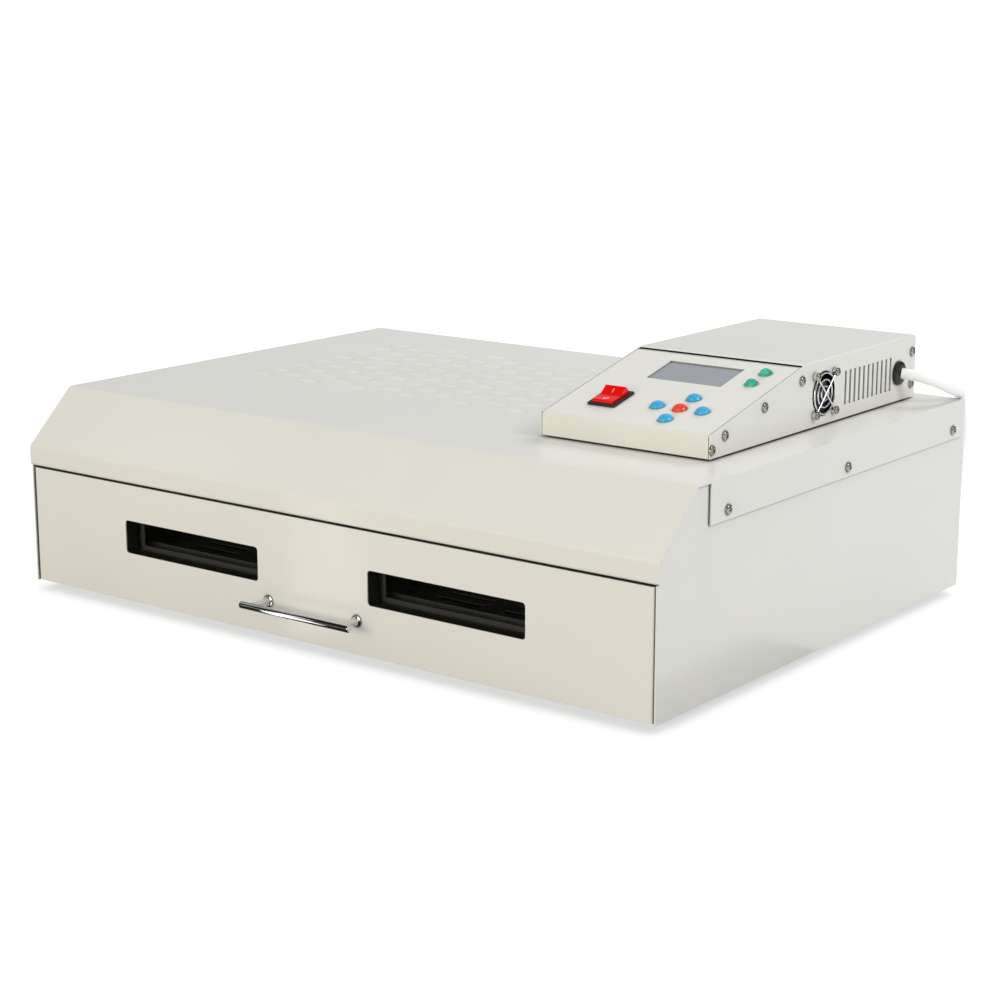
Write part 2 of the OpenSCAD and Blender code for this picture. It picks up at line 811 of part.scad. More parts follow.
module rounded_window(w, h, r) {
  for (s = [-1, 1]) {
    translate([s * (w / 2 - r), h / 2 - r]) circle(r = r);
    translate([s * (w / 2 - r), r - h / 2]) circle(r = r);
  }
  square([w - 2 * r, h], center = true);
  square([w, h - 2 * r], center = true);
}

module at_windows() {
  for (s = [-1, 1]) translate([s * win_pitch / 2, 0, win_z]) children();
}

module at_handle_posts() {
  for (s = [-1, 1]) translate([s * handle_pitch / 2, 0, handle_z]) children();
}

// Outer shell of the drawer's front: a pan of bent sheet with two windows
module drawer_front() {
  deep = front_t - inner_sheet;
  color(ivory) place() difference() {
    union() {
      along_z(front_z0, front_h) polygon(bent([
        [-front_x, deep], [-front_x, 0], [front_x, 0], [front_x, deep]
      ], bend_r, sheet));
      for (z = [front_z0, front_z0 + front_h - sheet])
        box_between([-front_x + sheet - 0.2, sheet - 0.2, z], [front_x - sheet + 0.2, deep, z + sheet]);
    }
    at_windows() along_y(-1, sheet + 2) rounded_window(win_w, win_h, win_r);
    at_handle_posts() along_y(-1, sheet + 2) circle(d = 4.2);
  }
}

// Steel back of the drawer's front, which holds the glass
module drawer_inner() {
  lap = 3;
  color(steel) place() difference() {
    box_between([-front_x + 0.5, front_t - inner_sheet, front_z0 + 0.5],
      [front_x - 0.5, front_t, front_z0 + front_h - 0.5]);
    at_windows() along_y(front_t - 3, 6) square([win_w - 2 * lap, win_h - 2 * lap], center = true);
    at_handle_posts() along_y(front_t - 3, 6) circle(d = 9);
  }
}

// Tubes of dark steel that line the windows from the face to the glass
module window_frames() {
  wall = 1.5;
  color(black) place() at_windows() along_y(sheet, win_deep - sheet) difference() {
    rounded_window(win_w + 2 * wall, win_h + 2 * wall, win_r + wall);
    rounded_window(win_w, win_h, win_r);
  }
}

module window_glass() {
  lap = 4;
  color([0.25, 0.26, 0.27, 0.5]) place() at_windows()
    box_between([-win_w / 2 - lap, glass_y, -win_h / 2 - lap],
      [win_w / 2 + lap, glass_y + glass_t, win_h / 2 + lap]);
}

// Chromed bar on two posts with flared feet
module handle() {
  flare = 5;
  color(chrome) place() {
    difference() {
      at_handle_posts() rotate([90, 0, 0]) rotate_extrude() polygon([
        [0, 0], [handle_foot_d / 2, 0], [handle_foot_d / 2, 1.2],
        for (k = [0:6]) [
          handle_post_d / 2 + (handle_foot_d / 2 - 0.6 - handle_post_d / 2) * (1 - sin(k * 15)),
          1.4 + flare * (1 - cos(k * 15))
        ],
        [handle_post_d / 2, handle_reach - 0.5], [0, handle_reach - 0.5]
      ]);
      at_handle_posts() rotate([90, 0, 0]) translate([0, 0, -1]) cylinder(h = 9, d = 3.3);
    }
    translate([0, -handle_reach, handle_z]) rotate([0, 90, 0]) rotate_extrude() polygon([
      [0, -handle_l / 2],
      for (k = [0:4]) [
        handle_bar_d / 2 - 1 + sin(k * 22.5), -handle_l / 2 + 1 - cos(k * 22.5)
      ],
      for (k = [4:-1:0]) [
        handle_bar_d / 2 - 1 + sin(k * 22.5), handle_l / 2 - 1 + cos(k * 22.5)
      ],
      [0, handle_l / 2]
    ]);
  }
}

module handle_screws() {
  color(chrome) place() at_handle_posts() translate([0, sheet, 0]) rotate([-90, 0, 0])
    pan_screw(m3_head_d, m3_head_h, 3.2, sheet + 6);
}

// Tray of thin steel with rows of slots and a turned-up rim
module tray() {
  cols = 2 * floor((tray_x - tray_slot_l / 2 - 8) / tray_pitch_x - 0.5) + 2;
  rows = floor((tray_d - 2 * 14) / tray_pitch_y) + 1;
  x0 = -(cols - 1) * tray_pitch_x / 2;
  y0 = tray_y + (tray_d - (rows - 1) * tray_pitch_y) / 2;
  color(bright) place() difference() {
    union() {
      box_between([-tray_x, tray_y, tray_z], [tray_x, tray_y + tray_d, tray_z + tray_rim]);
    }
    box_between([-tray_x + tray_t, tray_y + tray_t, tray_z + tray_t],
      [tray_x - tray_t, tray_y + tray_d - tray_t, tray_z + tray_rim + 1]);
    for (i = [0:cols - 1], j = [0:rows - 1])
      translate([x0 + i * tray_pitch_x - tray_slot_l / 2, y0 + j * tray_pitch_y - tray_slot_w / 2,
        tray_z - 1]) cube([tray_slot_l, tray_slot_w, tray_t + 2]);
  }
}

// Side rails of the drawer, each with a ledge that carries the tray
module drawer_rails() {
  color(steel) place() mirrored_x() {
    box_between([rail_x - rail_t, rail_y, rail_z0], [rail_x, rail_y + rail_l, rail_z1]);
    box_between([rail_x - rail_t - ledge_w, rail_y, tray_z - rail_t],
      [rail_x - rail_t + eps, rail_y + rail_l, tray_z]);
  }
}

module drawer_back_rail() {
  y = rail_y + rail_l;
  w = rail_x - rail_t - ledge_w - 0.5;
  color(steel) place() {
    box_between([-rail_x, y, rail_z0], [rail_x, y + rail_t, rail_z1]);
    box_between([-w, y - ledge_w, tray_z - rail_t], [w, y + eps, tray_z]);
  }
}

// Control box

module box_side_profile() {
  polygon([
    [box_front, box_z0], [box_end, box_z0], [box_end, box_z1], [box_top_y, box_z1],
    [box_front, box_lip_z]
  ]);
}

// Cover: the box's two sides and its top, from one sheet
module box_cover() {
  color(ivory) place() difference() {
    intersection() {
      along_y(box_front - 1, box_d + 2) polygon(bent([
        [box_x1, box_z0], [box_x1, box_z1], [box_x0, box_z1], [box_x0, box_z0]
      ], 2, sheet));
      along_x(box_x0 - 1, box_w + 2) box_side_profile();
    }
    box_screw_holes(2 * sheet);
    box_fan_face() translate([0, 0, -2 * sheet]) cylinder(h = 3 * sheet, d = fan_size * 0.94);
    box_fan_face() at_corners(fan_hole_pitch) translate([0, 0, -2 * sheet])
      cylinder(h = 3 * sheet, d = 3.4);
    for (k = [0:vent_count - 1])
      box_between([box_x1 - 2 * sheet, vent_y + k * vent_pitch - vent_w / 2, cab_h + 12.5],
        [box_x1 + 1, vent_y + k * vent_pitch + vent_w / 2, cab_h + 12.5 + vent_h]);
    at_relief() translate([0, 0, -2 * sheet]) cylinder(h = 3 * sheet, d = relief_d - 5 + 0.2);
  }
}

module at_relief() {
  translate([box_x1, relief_y, cab_h + relief_h]) rotate([0, 90, 0]) children();
}

// Front lip and sloped panel, with the windows of what it carries
module box_panel() {
  tuck = box_joint + sheet;
  top_y = box_top_y - tuck / tan(panel_a);
  w0 = box_in_x0 + side_joint;
  w1 = box_in_x1 - side_joint;
  color(ivory) place() difference() {
    union() {
      along_x(w0, w1 - w0) polygon(bent([
        [box_front, box_z0], [box_front, box_lip_z], [top_y, box_z1 - tuck],
        [box_top_y + 14, box_z1 - tuck]
      ], 2, sheet, -1));
      for (x = [w0, w1 - sheet]) along_x(x, sheet) polygon([
        [box_front + 0.5, box_z0 + 0.5], [box_front + 6, box_z0 + 0.5],
        [box_front + panel_foot, box_lip_z - 8],
        [top_y, box_z1 - tuck - 14], [top_y, box_z1 - tuck - sheet / 2],
        [box_front + 0.5, box_lip_z - sheet / 2]
      ]);
    }
    panel_cuts();
    box_screw_holes(side_screw_l + 1);
  }
}

module panel_cuts() {
  on_panel(lcd_u, lcd_s) translate([-lcd_w / 2, -lcd_h / 2, -3]) cube([lcd_w, lcd_h, 6]);
  on_panel(rocker_u, rocker_s) translate([-rocker_w / 2 + 1.5, -rocker_h / 2 + 1.2, -3])
    cube([rocker_w - 3, rocker_h - 2.4, 6]);
  at_keys() translate([0, 0, -3]) cylinder(h = 6, d = key_d + 2 * run_gap);
  at_lamps() translate([0, 0, -3]) cylinder(h = 6, d = lamp_d);
}

module at_keys() {
  for (p = [[0, 0], [-1, 0], [1, 0], [0, 1], [0, -1]])
    on_panel(key_u + p[0] * key_pitch, key_s + p[1] * key_pitch) children();
}

module at_lamps() {
  for (k = [0, 1]) on_panel(lamp_u, lamp_s + k * lamp_pitch) children();
}

// Floor of the box with a low front flange and the full rear wall
module box_base() {
  w0 = box_in_x0 + 0.2;
  w1 = box_in_x1 - 0.2;
  y0 = box_front + sheet + 0.2;
  color(ivory) place() difference() {
    union() {
      along_x(w0, w1 - w0) polygon(bent([
        [y0, box_z0 + 10], [y0, box_z0], [box_end, box_z0], [box_end, box_z1 - sheet - 0.2]
      ], 2, sheet));
      for (x = [w0, w1 - sheet])
        box_between([x, box_end - 12, box_z0 + 3], [x + sheet, box_end - sheet / 2, box_z1 - 4]);
    }
    for (x = [w0 - 1, w1 - sheet - fit_gap]) box_between([x, box_front, box_z0 - 1],
      [x + sheet + fit_gap + 1, box_front + panel_foot, box_lip_z]);
    box_screw_holes(side_screw_l + 1);
  }
}

// Washers that hold the box clear of the cabinet's roof
module box_spacers() {
  color(steel) place() for (x = [box_x0 + 25, box_x1 - 25], y = [box_front + 30, box_end - 30])
    translate([x, y, cab_h]) cylinder(h = box_gap, d = 12);
}

module lcd_window() {
  color([0.62, 0.65, 0.70, 0.6]) place() on_panel(lcd_u, lcd_s)
    translate([-lcd_w / 2 - 2, -lcd_h / 2 - 2, -sheet - 1.5]) cube([lcd_w + 4, lcd_h + 4, 1.5]);
}

// Display: a dark bezel with the glass in it, on its board
module lcd_module() {
  color([0.55, 0.58, 0.62]) place() on_panel(lcd_u, lcd_s) difference() {
    union() {
      translate([-lcd_w / 2 - 6, -lcd_h / 2 - 6, -9]) cube([lcd_w + 12, lcd_h + 12, 6]);
      translate([-lcd_w / 2 - 11, -lcd_h / 2 - 14, -10.6]) cube([lcd_w + 22, lcd_h + 28, 1.6]);
    }
    translate([-lcd_w / 2, -lcd_h / 2, -4]) cube([lcd_w, lcd_h, 2]);
  }
}

// Board under the keys, with one switch for each, on four posts from the panel
module key_board() {
  half_u = key_pitch + 10;
  half_s = key_pitch + 8;
  top = key_body_n - 4;
  color([0.10, 0.35, 0.20]) place() {
    on_panel(key_u, key_s) {
      translate([-half_u, -half_s, top - 1.6]) cube([2 * half_u, 2 * half_s, 1.6]);
      for (u = [-1, 1], v = [-1, 1]) translate([u * (half_u - 4), v * (half_s - 4), top - eps])
        cylinder(h = -sheet - top + eps, d = 5);
    }
    at_keys() translate([-6, -6, top - eps]) cube([12, 12, 4 + eps]);
  }
}

// Key cap: a dome in its hole, a collar under the panel, and a stem over its switch
module key_cap(i, j) {
  r = key_d / 2;
  color(i == 0 && j == 0 ? [0.91, 0.31, 0.23] : [0.25, 0.64, 0.86]) place()
    on_panel(key_u + i * key_pitch, key_s + j * key_pitch) rotate_extrude() polygon([
      [0, key_body_n + key_travel + run_gap], [2.5, key_body_n + key_travel + run_gap],
      [2.5, -3.5], [r + 1.3, -3.5], [r + 1.3, -sheet - run_gap], [r, -sheet - run_gap], [r, 1.2],
      for (k = [1:6]) [r * cos(k * 15), 1.2 + 3 * sin(k * 15)]
    ]);
}

module button_left() { key_cap(-1, 0); }

module button_right() { key_cap(1, 0); }

module button_up() { key_cap(0, 1); }

module button_down() { key_cap(0, -1); }

module button_centre() { key_cap(0, 0); }

// Pilot lamps: a flange, a faceted lens and a body behind the panel
module pilot_lamps() {
  color([0.05, 0.62, 0.45]) place() at_lamps() {
    translate([0, 0, -14]) cylinder(h = 15, d = lamp_d - 2 * fit_gap);
    cylinder(h = 1, d = lamp_d + 1.5);
    translate([0, 0, 1]) cylinder(h = 4.2, d1 = lamp_d, d2 = lamp_d * 0.45, $fn = 8);
  }
}

// Power switch: a rimmed body that is open to its paddle
module rocker_body() {
  w = rocker_w - 3 - 2 * fit_gap;
  h = rocker_h - 2.4 - 2 * fit_gap;
  color(black) place() on_panel(rocker_u, rocker_s) difference() {
    union() {
      translate([-rocker_w / 2, -rocker_h / 2, 0]) cube([rocker_w, rocker_h, 2]);
      translate([-w / 2, -h / 2, -20]) cube([w, h, 20 + eps]);
    }
    translate([-rocker_w / 2 + 2.6, -rocker_h / 2 + 2.2, -15])
      cube([rocker_w - 5.2, rocker_h - 4.4, 20]);
    translate([0, 0, rocker_pivot_n]) bar_x(-rocker_w / 2 + 1.9, rocker_w / 2 - 1.9, 3.1);
  }
}

module rocker_paddle() {
  w = rocker_w - 5.2 - 2 * run_gap;
  r = rocker_h / 2 - 2.2 - run_gap;
  color([0.85, 0.05, 0.04]) place() on_panel(rocker_u, rocker_s, rocker_pivot_n)
    rotate([rocker_a, 0, 0]) {
      intersection() {
        bar_x(-w / 2, w / 2, 2 * r);
        along_x(-w / 2, w) polygon([
          [-r, -7], [r, -7], [r, 7.2], [r * 0.8, 7.2], [0, 4.6], [-r * 0.8, 7.2], [-r, 7.2]
        ]);
      }
      bar_x(-rocker_w / 2 + 2, rocker_w / 2 - 2, 3);
    }
}

module fan_frame() {
  color(black) place() box_fan_frame() fan_housing(fan_size, fan_t, fan_hole_pitch, fan_size * 0.5);
}

module fan_rotor() {
  color(black) place() box_fan_frame() fan_impeller(fan_size, fan_t, fan_size * 0.5);
}

module fan_guard() {
  color(chrome) place() box_fan_face() wire_guard(fan_size, fan_hole_pitch, [6, 11.5, 17]);
}

module exhaust_fan_frame() {
  color(black) place() rear_fan_frame()
    fan_housing(rear_fan_size, rear_fan_t, rear_hole_pitch, rear_fan_size * 0.45);
}

module exhaust_rotor() {
  color(black) place() rear_fan_frame()
    fan_impeller(rear_fan_size, rear_fan_t, rear_fan_size * 0.45);
}

module exhaust_guard() {
  color(chrome) place() rear_fan_face() wire_guard(rear_fan_size, rear_hole_pitch, [8, 16, 25]);
}

// Rubber strain relief: a neck in the wall, a flange and a tapered nose, bored for the cord
module strain_relief() {
  neck = relief_d - 5;
  color(black) place() at_relief() difference() {
    rotate_extrude() polygon([
      [0, -16], [neck / 2 - 3, -16], [neck / 2 + 0.6, -sheet - 0.6], [neck / 2, -sheet - 0.3],
      [neck / 2, 0], [relief_d / 2, 0], [relief_d / 2, 1.6],
      for (k = [1:4]) [relief_d / 2 - 1.5 + 1.5 * cos(k * 22.5), 1.6 + 1.5 * sin(k * 22.5)],
      [cord_d / 2 + 1.6, 4.2], [0, 4.2]
    ]);
    translate([0, 0, -17]) cylinder(h = 24, d = cord_d + 2 * fit_gap);
  }
}

// Boards and power parts inside the box
module main_board() {
  color([0.10, 0.35, 0.20]) place() {
    box_between([board_x, board_y, board_z - board_t], [board_x + board_w, board_y + board_l, board_z]);
    for (x = [board_x + 5, board_x + board_w - 5], y = [board_y + 5, board_y + board_l - 5])
      translate([x, y, box_z0 + sheet]) cylinder(h = board_z - board_t - box_z0 - sheet, d = 6);
  }
}

module board_parts() {
  x = board_x;
  y = board_y;
  z = board_z;
  color([0.15, 0.15, 0.17]) place() {
    box_between([x + 8, y + 90, z], [x + 50, y + 128, z + 30]);
    box_between([x + 16, y + 8, z], [x + 30, y + 46, z + 3.4]);
    box_between([x + 44, y + 20, z], [x + 58, y + 34, z + 3]);
    for (k = [0:3]) box_between([x + 66, y + 16 + k * 24, z], [x + 85, y + 32 + k * 24, z + 16]);
    for (k = [0, 1]) translate([x + 20 + k * 16, y + 66, z]) cylinder(h = 22, d = 12);
  }
}

// Two solid state relays on a finned heat sink
module power_relays() {
  x = box_x0 + 16;
  y = box_front + 92;
  z = box_z0 + sheet;
  sink_h = 8;
  color([0.75, 0.76, 0.78]) place() {
    difference() {
      box_between([x, y, z], [x + 100, y + 56, z + sink_h]);
      for (k = [0:7])
        box_between([x + 5 + k * 12, y - 1, z - 1], [x + 11 + k * 12, y + 57, z + sink_h - 3]);
    }
    for (k = [0, 1])
      box_between([x + 12 + k * 42, y + 6, z + sink_h - eps], [x + 46 + k * 42, y + 50, z + sink_h + 13]);
  }
}

// Cord

// Rings of a tube of diameter d along the points p
function tube_dir(p, i) =
  unit(p[min(i + 1, len(p) - 1)] - p[max(i - 1, 0)]);
function tube_side(t) = unit(cross(t, abs(t[2]) > 0.9 ? [0, 1, 0] : [0, 0, 1]));

// The side vector of each ring, carried along the route so that the tube doesn't twist
function carried(p, i) =
  i == 0 ? tube_side(tube_dir(p, 0))
  : let (t = tube_dir(p, i), s = carried(p, i - 1)) unit(s - t * (s * t));

module tube(p, d, sides = 10) {
  n = len(p);
  rings = [for (i = [0:n - 1]) let (t = tube_dir(p, i), a = carried(p, i), b = cross(t, a))
    for (k = [0:sides - 1]) p[i] + (a * cos(k * 360 / sides) + b * sin(k * 360 / sides)) * d / 2];
  polyhedron(rings, concat(
    [[for (k = [0:sides - 1]) k]],
    [for (i = [0:n - 2], k = [0:sides - 1]) let (q = (k + 1) % sides)
      each [[i * sides + k, (i + 1) * sides + k, (i + 1) * sides + q],
        [i * sides + k, (i + 1) * sides + q, i * sides + q]]],
    [[for (k = [sides - 1:-1:0]) (n - 1) * sides + k]]
  ));
}

module cord() {
  color("white") place() {
    tube(route, cord_d);
    tube(tail, cord_d);
  }
}

// Outer shape of the coil: two layers of two turns, each wound as a spiral
module cord_coil() {
  half = 1.5 * cord_d;
  edge = half - cord_d / 2;
  color("white") place() translate([coil_x, coil_y, floor_z]) rotate_extrude() polygon([
    [coil_r - half, cord_d / 2], [coil_r - edge, 0], [coil_r + edge, 0],
    [coil_r + half, cord_d / 2], [coil_r + half, cord_d * 1.5], [coil_r + edge, cord_d * 2],
    [coil_r - edge, cord_d * 2], [coil_r - half, cord_d * 1.5]
  ]);
}

// Moulded mains plug that lies on the bench beside the coil
module at_plug() {
  translate([plug_x, plug_y, floor_z + plug_d / 2]) rotate([0, -90, 0]) children();
}

module cord_plug() {
  color("white") place() at_plug() difference() {
    rotate_extrude() polygon([
      [0, 0], [cord_d / 2 + 1, 0], [9, 26], [plug_d / 2 - 2, 30], [plug_d / 2, 34],
      [plug_d / 2, 56], [plug_d / 2 - 2, 60], [0, 60]
    ]);
    for (s = [-1, 1]) translate([-3, s * plug_d / 2 - 1.2, 40]) cube([6, 2.4, 30]);
  }
}

module plug_pins() {
  color(bright) place() at_plug() for (s = [-1, 1]) translate([0, s * 9.5, 60]) {
    cylinder(h = 17, d = 4.8);
    translate([0, 0, 17]) cylinder(h = 2, d1 = 4.8, d2 = 2);
  }
}

base_pan();
side_panel_left();
side_panel_right();
hood();
rear_panel();
feet();
liner_left();
liner_right();
liner_rear();
reflector();
insulation();
ir_tubes();
tube_holders();
thermocouples();
slide_outer();
exhaust_fan_frame();
exhaust_guard();
hood_screws();
rear_screws();
box_cover();
box_panel();
box_base();
box_spacers();
box_screws();
lcd_window();
lcd_module();
key_board();
pilot_lamps();
rocker_body();
fan_frame();
fan_guard();
strain_relief();
main_board();
board_parts();
power_relays();
drawer_front();
drawer_inner();
window_frames();
window_glass();
handle();
handle_screws();
tray();
drawer_rails();
drawer_back_rail();
slide_inner();
slide_middle();
outer_cage();
inner_cage();
rocker_paddle();
button_left();
button_right();
button_up();
button_down();
button_centre();
fan_rotor();
exhaust_rotor();
cord();
cord_coil();
cord_plug();
plug_pins();
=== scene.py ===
"""Infrared reflow oven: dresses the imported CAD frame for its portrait.

Everything is in metres in the CAD model's own frame: X to the right, Y to the back, Z up, and
the origin on the bench under the middle of the oven. Sizes in the classes are millimetres in the
cabinet's frame, whose origin is the middle of the drawer's lower front edge.
"""

import json
import logging
import math
from collections.abc import Callable, Sequence
from dataclasses import dataclass, field
from enum import Enum

import bmesh
import bpy
from bmesh.types import BMesh, BMFace, BMVert
from bpy.types import ID, Material, Node, NodeSocket, NodeTree, Object, World
from mathutils import Matrix, Vector


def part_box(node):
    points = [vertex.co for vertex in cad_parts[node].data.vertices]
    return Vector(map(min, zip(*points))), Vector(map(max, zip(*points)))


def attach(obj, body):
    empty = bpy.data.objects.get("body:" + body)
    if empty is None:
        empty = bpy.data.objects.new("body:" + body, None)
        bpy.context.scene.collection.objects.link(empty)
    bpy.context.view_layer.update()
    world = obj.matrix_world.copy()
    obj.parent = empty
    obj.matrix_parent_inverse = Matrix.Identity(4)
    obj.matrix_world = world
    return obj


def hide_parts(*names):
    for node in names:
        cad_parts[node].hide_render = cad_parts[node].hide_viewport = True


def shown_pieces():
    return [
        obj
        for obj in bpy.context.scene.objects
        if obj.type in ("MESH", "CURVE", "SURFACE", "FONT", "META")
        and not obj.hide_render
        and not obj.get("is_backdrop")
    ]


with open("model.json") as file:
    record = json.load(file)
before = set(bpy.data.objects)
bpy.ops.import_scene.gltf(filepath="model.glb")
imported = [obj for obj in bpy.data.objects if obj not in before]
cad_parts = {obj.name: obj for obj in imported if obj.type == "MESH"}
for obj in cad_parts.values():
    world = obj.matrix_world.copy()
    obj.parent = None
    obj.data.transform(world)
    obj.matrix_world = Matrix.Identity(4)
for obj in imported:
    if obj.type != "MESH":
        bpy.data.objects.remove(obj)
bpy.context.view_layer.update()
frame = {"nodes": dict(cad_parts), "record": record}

Pair = tuple[float, float]
Point = tuple[float, float, float]

LOG = logging.getLogger("reflow_oven")
MM = 0.001
SLOT_OF = {part["node"]: part["material_slot"] for part in frame["record"]["subparts"]}
BODIES = frame["record"]["behaviour"]["bodies"]
BODY_OF = {node: body for body, nodes in BODIES.items() for node in nodes}
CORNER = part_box("side_panel_right")[0]
CREASE = 35.0
WHITE = "#FFFFFF"


def cab(x: float, y: float, z: float) -> Vector:
    """Turns a point of the cabinet's frame, in millimetres, into the scene's frame.

    Args:
        x: Distance to the right of the cabinet's middle.
        y: Distance behind the drawer's face.
        z: Height above the cabinet's lower edge.

    Returns:
        The point in metres.
    """
    return Vector((x * MM, CORNER[1] + y * MM, CORNER[2] + z * MM))


def linear(code: str) -> tuple[float, float, float, float]:
    """Turns an sRGB hex colour into linear red, green, blue and alpha.

    Args:
        code: The colour, such as "#DEDCD2".

    Returns:
        The four linear values.
    """
    parts = [int(code[k:k + 2], 16) / 255 for k in (1, 3, 5)]
    red, green, blue = (p / 12.92 if p <= 0.04045 else ((p + 0.055) / 1.055) ** 2.4 for p in parts)
    return red, green, blue, 1.0


def per_mm(size: float) -> float:
    """Gives the scale at which a pattern's detail is `size` millimetres across."""
    return 1.0 / (size * MM)


def add(
    tree: NodeTree,
    kind: str,
    inputs: dict[str | int, object] | None = None,
    stops: Sequence[tuple[float, str]] = (),
    **settings: object,
) -> Node:
    """Adds a node with its settings, its values and its links.

    Args:
        tree: The node tree.
        kind: The node's type, such as "TexNoise".
        inputs: Values, or the sockets that lead to the inputs, by name or index.
        stops: Places and colours of a colour ramp.
        **settings: Properties of the node.

    Returns:
        The new node.
    """
    node = tree.nodes.new(f"ShaderNode{kind}")
    for name, value in settings.items():
        setattr(node, name, value)
    for key, value in (inputs or {}).items():
        if isinstance(value, NodeSocket):
            tree.links.new(value, node.inputs[key])
        else:
            node.inputs[key].default_value = value
    if stops:
        ramp = node.color_ramp.elements
        while len(ramp) < len(stops):
            ramp.new(0.5)
        for element, (place, colour) in zip(ramp, stops):
            element.position = place
            element.color = linear(colour)
    return node


class Axis(Enum):
    """The direction in which a surface was brushed or drawn, as the pattern's squeeze."""

    X = (1.0, 60.0, 60.0)
    Y = (60.0, 1.0, 60.0)


def blank_tree(holder: Material | World) -> NodeTree:
    """Empties the node tree of a material or a world.

    Args:
        holder: The material or the world.

    Returns:
        Its tree.
    """
    holder.use_nodes = True
    holder.node_tree.nodes.clear()
    return holder.node_tree


def openness(tree: NodeTree, reach_mm: float, rays: int, shut: Pair, free: Pair) -> NodeSocket:
    """Adds a value that falls where other surfaces are near, for painted shade and painted shadow.

    Args:
        tree: The node tree.
        reach_mm: How far it looks for them.
        rays: Number of rays that look.
        shut: Share of free rays at its low end, and the value there.
        free: The same at its high end.

    Returns:
        The value.
    """
    near = add(tree, "AmbientOcclusion", {"Distance": reach_mm * MM}, samples=rays)
    return add(tree, "MapRange", {
        "Value": near.outputs["AO"], "From Min": shut[0], "From Max": free[0],
        "To Min": shut[1], "To Max": free[1],
    }).outputs["Result"]


def any_of(tree: NodeTree, first: NodeSocket, *others: NodeSocket) -> NodeSocket:
    """Adds a value that is 1 where any of several is 1.

    Args:
        tree: The node tree.
        first: A value that is 0 or 1.
        *others: More of them.

    Returns:
        The value.
    """
    for other in others:
        first = add(tree, "Math", {0: first, 1: other}, operation="MAXIMUM").outputs[0]
    return first


@dataclass
class Skin:
    """A material in the making: its tree, shader, object coordinates, colour and roughness."""

    tree: NodeTree
    shader: Node
    place: NodeSocket
    colour: str
    roughness: float
    span: Pair = (0.3, 0.7)

    def put(self, name: str, value: float | Point) -> None:
        """Sets one of the shader's inputs."""
        self.shader.inputs[name].default_value = value

    def link(self, source: NodeSocket, name: str) -> None:
        """Leads a socket to one of the shader's inputs."""
        self.tree.links.new(source, self.shader.inputs[name])

    def noise(
        self, size_mm: float, detail: float, roughness: float = 0.5, distortion: float = 0.0
    ) -> NodeSocket:
        """Adds a cloudy pattern.

        Args:
            size_mm: How large its clouds are.
            detail: Number of its finer layers.
            roughness: Strength of those layers.
            distortion: How far its clouds are twisted.

        Returns:
            The pattern, of which about 0.3 to 0.7 is used.
        """
        return add(self.tree, "TexNoise", {
            "Vector": self.place, "Scale": per_mm(size_mm), "Detail": detail,
            "Roughness": roughness, "Distortion": distortion,
        }).outputs["Fac"]

    def draw_out(self, grain: Axis) -> None:
        """Stretches the patterns that follow along an axis."""
        drawn = add(self.tree, "Mapping", {"Vector": self.place, "Scale": grain.value})
        self.place = drawn.outputs["Vector"]

    def tones(self, height: NodeSocket, tone: str) -> NodeSocket:
        """Adds a colour that goes from the finish's own to another with a pattern."""
        ends = [(self.span[0], self.colour), (self.span[1], tone)]
        return add(self.tree, "ValToRGB", {"Fac": height}, ends).outputs["Color"]

    def tint(self, height: NodeSocket, tone: str, spread: float = 0.0) -> None:
        """Turns the finish's colour to another one, and its gloss, by a pattern.

        Args:
            height: The pattern.
            tone: The colour where the pattern is high.
            spread: Difference of the roughness to either side.
        """
        self.link(self.tones(height, tone), "Base Color")
        if spread:
            self.vary_gloss(height, spread)

    def relief(self, height: NodeSocket, depth_mm: float, strength: float) -> None:
        """Raises the surface by a pattern, by a share (`strength`) of its depth."""
        bump = add(self.tree, "Bump", {
            "Height": height, "Distance": depth_mm * MM, "Strength": strength,
        })
        self.link(bump.outputs["Normal"], "Normal")

    def vary_gloss(self, height: NodeSocket, spread: float) -> None:
        """Varies the roughness to either side by a pattern."""
        span = add(self.tree, "MapRange", {
            "Value": height, "From Min": self.span[0], "From Max": self.span[1],
            "To Min": self.roughness - spread, "To Max": self.roughness + spread,
        })
        self.link(span.outputs["Result"], "Roughness")


@dataclass(frozen=True)
class Finish:
    """What all finishes share: a named material round one shader."""

    label: str
    colour: str
    roughness: float

    def material(self) -> Material:
        """Gives the finish's material, which is made on its first use.

        Returns:
            The material.
        """
        found = bpy.data.materials.get(self.label)
        if found:
            return found
        made = bpy.data.materials.new(self.label)
        tree = blank_tree(made)
        shader = add(tree, "BsdfPrincipled", {
            "Base Color": linear(self.colour), "Roughness": self.roughness,
        })
        place = add(tree, "TexCoord").outputs["Object"]
        self.shade(Skin(tree, shader, place, self.colour, self.roughness))
        add(tree, "OutputMaterial", {"Surface": shader.outputs["BSDF"]})
        return made

    def shade(self, skin: Skin) -> None:
        """Adds the finish's patterns. Each finish has its own.

        Args:
            skin: The material in the making.
        """
        raise NotImplementedError


